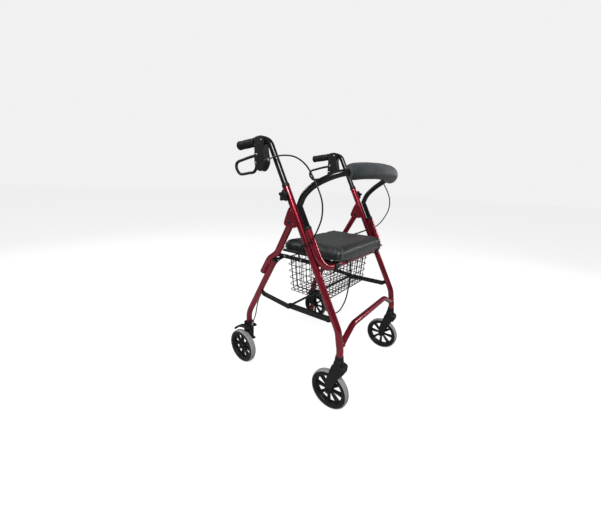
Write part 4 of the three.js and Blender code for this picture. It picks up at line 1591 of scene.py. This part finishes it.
@dataclass
class Seat(Assembly):
    """The padded seat with its board and rails."""

    half_x: float = 200
    front: float = -172
    back: float = 112
    pad_bottom: float = 534
    pad_under: float = 539.5
    pad_top: float = 582
    lip_y: float = -150
    lip_drop: float = 26
    voxel: float = 5

    def puffed(self, pad: bpy.types.Object, pressure: float, cap: float) -> None:
        """Swells a pad with cloth, its underside held, and caps how far a point moves.

        Args:
            pad: a closed mesh.
            pressure: the cloth's pressure.
            cap: the furthest that a point may move, in millimetres.
        """
        modified(pad, "REMESH", mode="VOXEL", voxel_size=self.voxel * MM)
        rest = [corner.co.copy() for corner in pad.data.vertices]
        low = min(co.z for co in rest)
        held = pad.vertex_groups.new(name="held")
        held.add([i for i, co in enumerate(rest) if co.z < low + 2 * MM], 1.0, "REPLACE")
        take(pad)
        bpy.ops.object.modifier_add(type="CLOTH")
        cloth = pad.modifiers[-1]
        cloth.settings.use_pressure = True
        cloth.settings.uniform_pressure_force = pressure
        cloth.settings.effector_weights.gravity = 0
        cloth.settings.vertex_group_mass = held.name
        cloth.settings.quality = 5
        scene = bpy.context.scene
        for step in range(1, 21):
            scene.frame_set(step)
        swollen = pad.evaluated_get(bpy.context.evaluated_depsgraph_get()).to_mesh()
        moved = [corner.co.copy() for corner in swollen.vertices]
        pad.modifiers.remove(cloth)
        scene.frame_set(1)
        for corner, was, now in zip(pad.data.vertices, rest, moved):
            step = now - was
            if step.length > cap * MM:
                step = step.normalized() * cap * MM
            corner.co = was + step

    def pad(self) -> list[Piece]:
        """Builds the vinyl pad: a crowned cushion over the board and its welt.

        Returns:
            The finished pieces.
        """
        inset, x = 7, self.half_x
        low, high = self.pad_bottom, self.pad_top - 5
        middle = place(0, (self.front + self.back) / 2, (low + high) / 2)
        clear_bench()
        bpy.ops.mesh.primitive_cube_add(size=1, location=middle)
        pad = bpy.context.object
        pad.name = "seat_cushion"
        pad.scale = (2 * (x - inset) * MM, (self.back - self.front - 2 * inset) * MM, (high - low) * MM)
        bpy.ops.object.transform_apply(location=True, rotation=True, scale=True)
        modified(
            pad, "BEVEL", width=19 * MM, segments=6, limit_method="ANGLE", angle_limit=math.radians(60)
        )
        self.puffed(pad, 5, 7)
        wide, deep = (x - 8) * MM, (self.back - self.front) / 2 * MM
        top, floor = self.pad_top * MM, low * MM
        under = self.pad_under * MM
        for corner in pad.data.vertices:
            u, v = corner.co.x / wide, (corner.co.y - middle.y) / deep
            lift = max(0.0, (corner.co.z - middle.z)) / (top - middle.z)
            crown = max(0.0, 1 - u ** 4) * max(0.0, 1 - v ** 4)
            wrinkle = noise.noise(Vector((corner.co.x * 26, corner.co.y * 18, 1.7)))
            corner.co.z += lift * (crown * 4.2 * MM - 2.4 * MM + wrinkle * 1.1 * MM)
            corner.co.z = min(max(corner.co.z, floor), top + 1.5 * MM)
            corner.co.x = min(max(corner.co.x, -x * MM), x * MM)
            hang = min(1.0, max(0.0, (self.lip_y - DATUM_Y) * MM - corner.co.y) / (8 * MM))
            low_share = min(1.0, max(0.0, middle.z - corner.co.z) / (middle.z - floor))
            corner.co.z -= self.lip_drop * MM * hang * hang * (3 - 2 * hang) * low_share
            inside = abs(corner.co.x) < (x - 12) * MM and abs(v) < 1 - 15 * MM / deep
            if inside and corner.co.z < under:
                corner.co.z = under
        modified(pad, "SUBSURF", levels=1, render_levels=1)
        trued(pad, 180)
        welt = bent_tube("seat_welt", [self.hem(-2.2, low + 11, 26)], 2.0, 4, closed=True)
        return [
            Piece(pad, "seat", Slot.VINYL, ("seat_pad",), soft=0.7),
            Piece(welt, "seat", Slot.VINYL),
        ]

    def hem(self, out: float, z: float, radius: float) -> Route:
        """Gives the rounded rectangle round the pad, out from its edge, at a height."""
        x, y0, y1 = self.half_x + out, self.front - out, self.back + out
        spots = [place(x, y0, z), place(x, y1, z), place(-x, y1, z), place(-x, y0, z)]
        return rounded([spots[-1], *spots, spots[0]], (radius,) * 4)[1:-1]

    def board(self) -> list[Piece]:
        """Builds the seat board and the rails that carry it.

        Returns:
            The finished pieces.
        """
        board = cad_copy("seat_board", "seat_base", 1.6, 3)
        rail = cad_copy("seat_rail_left", "seat_rail_shape_left", 0.8, 2)
        corner = D.on_leg(D.u_bottom, D.u_offset)
        screws = joined(
            "rail_screws_left",
            [ball_end("screw", at(228.2, (y, 525)), 3.4, 0.45) for y in (corner[0] + 50, -20, 60)],
        )
        return [
            Piece(board, "seat", Slot.MOULDED, ("seat_board",)),
            *self.pairs([
                Piece(rail, "seat", Slot.STEEL, ("seat_rail_left",)),
                Piece(screws, "seat", Slot.ZINC),
            ]),
        ]

    def build(self) -> list[Piece]:
        """Builds the seat."""
        return self.pad() + self.board()


@dataclass
class Backrest(Assembly):
    """The bent backrest tube and the foam sleeve around its middle."""

    pad_r: float = 27
    pad_half: float = 182

    def half(self) -> list[Vector]:
        """Lists the left half of the tube's route.

        Returns:
            The places along it.
        """
        x = D.leg_x
        low = at(x, D.on_leg(D.u_top - 90, D.u_offset))
        high = at(x, D.on_leg(D.u_top + 85, D.u_offset))
        spots = [(250, -41, 762), (244, -74, 794), (229, -111, 817), (203, -147, 834), (160, -177, 844),
                 (85, -200, 850)]
        return [low, high, *[place(*spot) for spot in spots]]

    def route(self) -> Route:
        """Gives the whole route of the tube."""
        half = self.half()
        flip = Matrix.Scale(-1, 4, (1, 0, 0))
        knots = [*half[1:], place(0, -208, 852), *[flip @ p for p in reversed(half[1:])]]
        return [half[0], *flowing(knots, 8), flip @ half[0]]

    def build(self) -> list[Piece]:
        """Builds the tube and the foam.

        Returns:
            The finished pieces.
        """
        route = self.route()
        tube = bent_tube("backrest_tube", [route], D.inner_r, 8)
        core = [p for p in route if abs(p.x) < self.pad_half * MM]
        foam = bent_tube("backrest_foam", [core], self.pad_r, 12)
        middle = core[len(core) // 2]
        for corner in foam.data.vertices:
            near = min(core, key=lambda p: (p - corner.co).length_squared)
            reach = corner.co - near
            end = (self.pad_half * MM - abs(near.x)) / (16 * MM)
            ease = math.sqrt(max(0.0, min(1.0, end + 0.25)))
            soft = 1 + 0.025 * noise.noise(corner.co * 22)
            corner.co = near + reach * (0.72 + 0.28 * ease) * soft
        trued(foam, 60)
        return [
            Piece(tube, "backrest", Slot.TUBE, ("backrest_bar",)),
            Piece(foam, "backrest", Slot.FOAM, ("backrest_pad",), soft=0.9),
        ]


@dataclass
class Basket(Assembly):
    """The wire basket that hangs under the seat."""

    top_x: float = 178
    top_y: Flat = (-109, 92)
    top_z: float = 505.5
    bottom_x: float = 170
    bottom_y: Flat = (-103, 76)
    bottom_z: float = 364
    rim_r: float = 2.5
    wire_r: float = 1.55
    pitch: float = 26

    def ring(self, share: float, radius: float = 14) -> Route:
        """Gives the rounded rectangle around the basket at a share of its height.

        Args:
            share: 0 at the floor and 1 at the top rim.
            radius: the radius of its corners, in millimetres.

        Returns:
            The places along it.
        """
        x = self.bottom_x + share * (self.top_x - self.bottom_x)
        y0, y1 = (b + share * (t - b) for b, t in zip(self.bottom_y, self.top_y))
        z = self.bottom_z + share * (self.top_z - self.bottom_z)
        spots = [place(x, y0, z), place(x, y1, z), place(-x, y1, z), place(-x, y0, z)]
        return rounded([spots[-1], *spots, spots[0]], (radius,) * 4, 15)[1:-1]

    def wires(self) -> list[Route]:
        """Lists the U-shaped wires that run down one wall, under the floor and up the other.

        Returns:
            The routes, one for each wire.
        """
        routes: list[Route] = []
        radius = 9
        count = round(2 * self.top_x / self.pitch)
        for i in range(1, count):
            share = -1 + 2 * i / count
            corners = [
                place(share * self.top_x, self.top_y[0], self.top_z),
                place(share * self.bottom_x, self.bottom_y[0], self.bottom_z),
                place(share * self.bottom_x, self.bottom_y[1], self.bottom_z),
                place(share * self.top_x, self.top_y[1], self.top_z),
            ]
            routes.append(rounded(corners, (radius, radius), 22))
        count = round((self.top_y[1] - self.top_y[0]) / self.pitch)
        for i in range(1, count):
            share = i / count
            top = self.top_y[0] + share * (self.top_y[1] - self.top_y[0])
            low = self.bottom_y[0] + share * (self.bottom_y[1] - self.bottom_y[0])
            z = self.bottom_z + 2 * self.wire_r
            corners = [
                place(self.top_x, top, self.top_z), place(self.bottom_x, low, z),
                place(-self.bottom_x, low, z), place(-self.top_x, top, self.top_z),
            ]
            routes.append(rounded(corners, (radius, radius), 22))
        return routes

    def hooks(self) -> list[Route]:
        """Lists the hooks over the seat tube and over the studs of the rear legs.

        Returns:
            The routes, one for each wire.
        """
        corner = D.on_leg(D.u_bottom, D.u_offset)
        reach = D.tube_r + 0.8 + 2.2
        over = []
        for deg in range(0, 200, 15):
            a = math.radians(deg)
            over.append((corner[0] + reach * math.cos(a), corner[1] + reach * math.sin(a)))
        stud = D.on_rear(174, -4)
        top = (stud[0], stud[1] + 5.8 + 2.2)
        routes: list[Route] = []
        for side in (1, -1):
            routes.append([
                place(side * 110, self.top_y[0], self.top_z - 22), place(side * 110, self.top_y[0] + 1, 497),
                *[at(side * 110, spot) for spot in over],
            ])
            knots = [
                place(side * 177.4, 58, 484), place(side * 177.6, 58, 498),
                at(side * 182, (top[0] - 14, top[1] - 6)), at(side * 191, (top[0] - 5, top[1])),
                at(side * 203, (top[0] - 1, top[1])), at(side * 216, top),
            ]
            routes.append(flowing(knots, 5))
        return routes

    def build(self) -> list[Piece]:
        """Builds the rims, the mesh and the hooks as one welded basket.

        Returns:
            The finished pieces.
        """
        rim = bent_tube("rim", [self.ring(1)], self.rim_r, 4, closed=True)
        rings = bent_tube(
            "rings", [self.ring(share) for share in (0.02, 0.2, 0.4, 0.6, 0.8)], self.wire_r, 2, closed=True
        )
        mesh = bent_tube("mesh", self.wires(), self.wire_r, 2)
        hooks = bent_tube("hooks", self.hooks(), 2.1, 3)
        shape = joined("wire_basket", [rim, rings, mesh, hooks])
        return [Piece(shape, "frame", Slot.STEEL, ("basket",))]


@dataclass
class Cables(Assembly):
    """The brake cables, from the housings to the rear brakes."""

    radius: float = 2.5
    sleeve_r: float = 3.5
    upper: tuple[Spot, ...] = (
        (262, 112.8, 879.4), (263.5, 106, 881), (267, 94, 883.5), (269, 80, 886), (270, 60, 888),
        (270, 28, 888.5), (271, -6, 884), (274, -38, 872), (280, -70, 852), (285, -98, 822),
        (287, -122, 786), (287, -140, 745), (286, -141, 700), (283, -126, 660), (278, -104, 625),
        (272, -78, 604), (270.5, -61, 596),
    )
    near: tuple[Spot, ...] = (
        (270.3, -58.5, 594), (268, -45, 578), (262, -38, 556), (250, -34, 542), (240, -20, 536),
        (236, 6, 534), (235, 34, 530), (235, 62, 520), (234.5, 92, 496), (234.5, 116, 460),
        (234.5, 136, 425), (234.5, 157, 388), (234.5, 180, 343), (234.5, 203, 296), (236, 212, 256),
        (244, 211, 228), (260, 207, 205), (270, 205, 187),
    )
    far: tuple[Spot, ...] = (
        (270.3, -58.5, 594), (268, -40, 586), (258, -12, 572), (246, 12, 560), (236, 24, 540),
        (234.5, 23, 512), (226, 10, 480), (217, -3, 440), (214, -7, 400), (214, -7, 355),
        (214, -6, 310), (214, -3, 265),
        (214, 4, 219), (216, 16, 180), (218, 42, 128), (222, 80, 98), (228, 122, 96), (240, 164, 118),
        (256, 190, 150), (269, 202, 172),
    )

    def run(
        self, name: str, spots: Sequence[Spot], radius: float, side: int = 1
    ) -> bpy.types.Object:
        """Sweeps one cable through its places."""
        return bent_tube(name, [flowing([place(side * x, y, z) for x, y, z in spots], 5)], radius, 4)

    def build(self) -> list[Piece]:
        """Builds the cables, their end barrels and the clips that hold them to the legs.

        Returns:
            The finished pieces.
        """
        upper = self.run("upper_cable_run_left", self.upper, self.radius)
        top, waist = place(270, 28, 888), place(283, -126, 660)
        far = self.run("lower_cable_run_left", self.far, self.sleeve_r)
        near = self.run("lower_cable_run_right", self.near, self.radius, -1)
        last = place(*self.upper[-1])
        heading = (last - place(*self.upper[-2])).normalized()
        clip = revolved(
            "cable_clip_left",
            [(-8, 2.7), (-8, 4.2), (-7, 4.8), (5, 4.8), (6, 4.2), (6, 2.7)], last, heading, 24, hollow=True,
        )
        pieces = self.pairs([
            Piece(upper, "frame", Slot.SHEATH, ("upper_cable_left",), ("handle_left", "frame", top, waist)),
            Piece(clip, "frame", Slot.MOULDED),
        ])
        pieces.append(Piece(
            far, "frame", Slot.SHEATH, ("lower_cable_left",),
            ("frame", "rear_frame", place(262, -20, 576), place(256, 190, 150)),
        ))
        pieces.append(Piece(
            near, "frame", Slot.SHEATH, ("lower_cable_right",),
            ("frame", "rear_frame", place(-240, -20, 536), place(-234.5, 180, 343)),
        ))
        ends = ((1, "left", self.far, self.sleeve_r), (-1, "right", self.near, self.radius))
        for side, name, spots, r in ends:
            end, before = (place(side * x, y, z) for x, y, z in (spots[-1], spots[-2]))
            steps = [
                (-16, 0.2), (-16, 1.1), (-14, 1.5), (-6, 1.5), (-5.4, 0.8), (-4.6, 1.5), (-1, 1.5),
                (0, 0.7), (0, 0.2),
            ]
            barrel = revolved(
                f"cable_barrel_{name}", [(s, r + proud) for s, proud in steps], end, end - before, 24,
                hollow=True,
            )
            pieces.append(Piece(barrel, "rear_frame", Slot.ZINC))
        return pieces


# ------------------------------------------------------------------ the studio


@dataclass
class Studio:
    """The pale floor, the soft lights and the camera."""

    eye: Spot = (-0.95846, -0.61077, 0.79069)
    look: Spot = (0.0, 0.13262, 0.464)
    roll_deg: float = 2.24
    lens: float = 15.499
    fill: float = 0.13
    seen: float = 0.88
    floor_glow: Flat = (0.13, 0.82)
    lamps: tuple[tuple[Spot, float, float], ...] = (
        ((-1.9, -1.3, 2.9), 1.0, 110), ((2.3, -2.0, 1.6), 0.6, 22), ((-0.6, 2.5, 2.2), 0.8, 34),
    )

    def camera(self) -> None:
        """Adds the camera, rolled about its own line of sight."""
        clear_bench()
        bpy.ops.object.camera_add(location=self.eye)
        camera = bpy.context.object
        ahead = (Vector(self.look) - Vector(self.eye)).normalized()
        right = ahead.cross(Z_AXIS).normalized()
        up = right.cross(ahead)
        roll = math.radians(self.roll_deg)
        across = right * math.cos(roll) + up * math.sin(roll)
        upright = up * math.cos(roll) - right * math.sin(roll)
        turn = Matrix((across, upright, -ahead)).transposed().to_4x4()
        camera.matrix_world = Matrix.Translation(self.eye) @ turn
        camera.data.lens = self.lens
        camera.data.clip_start = 0.02
        bpy.context.scene.camera = camera

    def floor(self) -> None:
        """Adds a wide pale floor, brighter to look at than as a light."""
        clear_bench()
        bpy.ops.mesh.primitive_plane_add(size=60, location=(0, 0, 0))
        ground = bpy.context.object
        ground.name = "studio_floor"
        n = Nodes("pale_floor")
        n.set(
            Base_Color=(0.35, 0.35, 0.35), Roughness=0.9, Specular_IOR_Level=0.0,
            Emission_Color=(1.0, 1.0, 1.0),
        )
        seen = n.node("ShaderNodeLightPath", {}).outputs["Is Camera Ray"]
        n.set(Emission_Strength=n.ramp(seen, 0, 1, self.floor_glow))
        ground.data.materials.append(n.material)

    def light(self, spot: Spot, size: float, power: float) -> None:
        """Adds one soft square light that faces the walker.

        Args:
            spot: its place, in metres.
            size: its width, in metres.
            power: its power, in watts.
        """
        clear_bench()
        bpy.ops.object.light_add(type="AREA", location=spot)
        lamp = bpy.context.object
        lamp.data.size = size
        lamp.data.energy = power
        aim = Vector((0, 0, 0.45)) - Vector(spot)
        lamp.rotation_euler = aim.to_track_quat("-Z", "Y").to_euler()

    def sky(self) -> None:
        """Adds a world that is white to look at and greyer as a light."""
        world = bpy.data.worlds.new("studio")
        bpy.context.scene.world = world
        world.use_nodes = True
        tree = world.node_tree
        fill = tree.nodes["Background"]
        fill.inputs["Color"].default_value = (0.95, 0.97, 1, 1)
        fill.inputs["Strength"].default_value = self.fill
        seen = tree.nodes.new("ShaderNodeBackground")
        seen.inputs["Color"].default_value = (1, 1, 1, 1)
        seen.inputs["Strength"].default_value = self.seen
        path = tree.nodes.new("ShaderNodeLightPath")
        mixer = tree.nodes.new("ShaderNodeMixShader")
        tree.links.new(path.outputs["Is Camera Ray"], mixer.inputs["Fac"])
        tree.links.new(fill.outputs["Background"], mixer.inputs[1])
        tree.links.new(seen.outputs["Background"], mixer.inputs[2])
        tree.links.new(mixer.outputs["Shader"], tree.nodes["World Output"].inputs["Surface"])

    def build(self) -> None:
        """Sets up the studio."""
        self.camera()
        self.floor()
        for spot, size, power in self.lamps:
            self.light(spot, size, power)
        self.sky()
        bpy.context.scene.view_settings.view_transform = "Standard"


def dress(pieces: Iterable[Piece], paints: dict[Slot, bpy.types.Material]) -> None:
    """Gives each piece its finish, attaches each piece without bends to its body and bakes the place of the
    others into their mesh, and hides the CAD nodes it stands for.

    Args:
        pieces: the finished pieces.
        paints: each slot's material.
    """
    for piece in pieces:
        shape = piece.shape
        shape.data.materials.clear()
        shape.data.materials.append(paints[piece.slot])
        if piece.bends:
            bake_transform(shape)
        else:
            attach(shape, piece.body)
        if piece.stands_for:
            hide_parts(*piece.stands_for)
        LOG.info("%s on %s: %d faces", shape.name, piece.body, len(shape.data.polygons))


def main() -> None:
    """Builds the whole walker around the CAD frame."""
    logging.basicConfig(level=logging.INFO, format="%(message)s")
    FRAME.update(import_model())
    Studio().build()
    paints = {slot: finish.make() for slot, finish in FINISHES.items()}
    owners = {row["node"]: Slot(row["material_slot"]) for row in FRAME["record"]["subparts"]}
    for name, node in FRAME["nodes"].items():
        node.data.materials.clear()
        node.data.materials.append(paints[owners[name]])
    assemblies = (
        FrontFrame(), Wheels(), RearFrame(), Brakes(), Handles(), Seat(), Backrest(), Basket(), Cables(),
    )
    for assembly in assemblies:
        dress(assembly.build(), paints)
        LOG.info("%s is built", type(assembly).__name__)


if __name__ == "__main__":
    main()
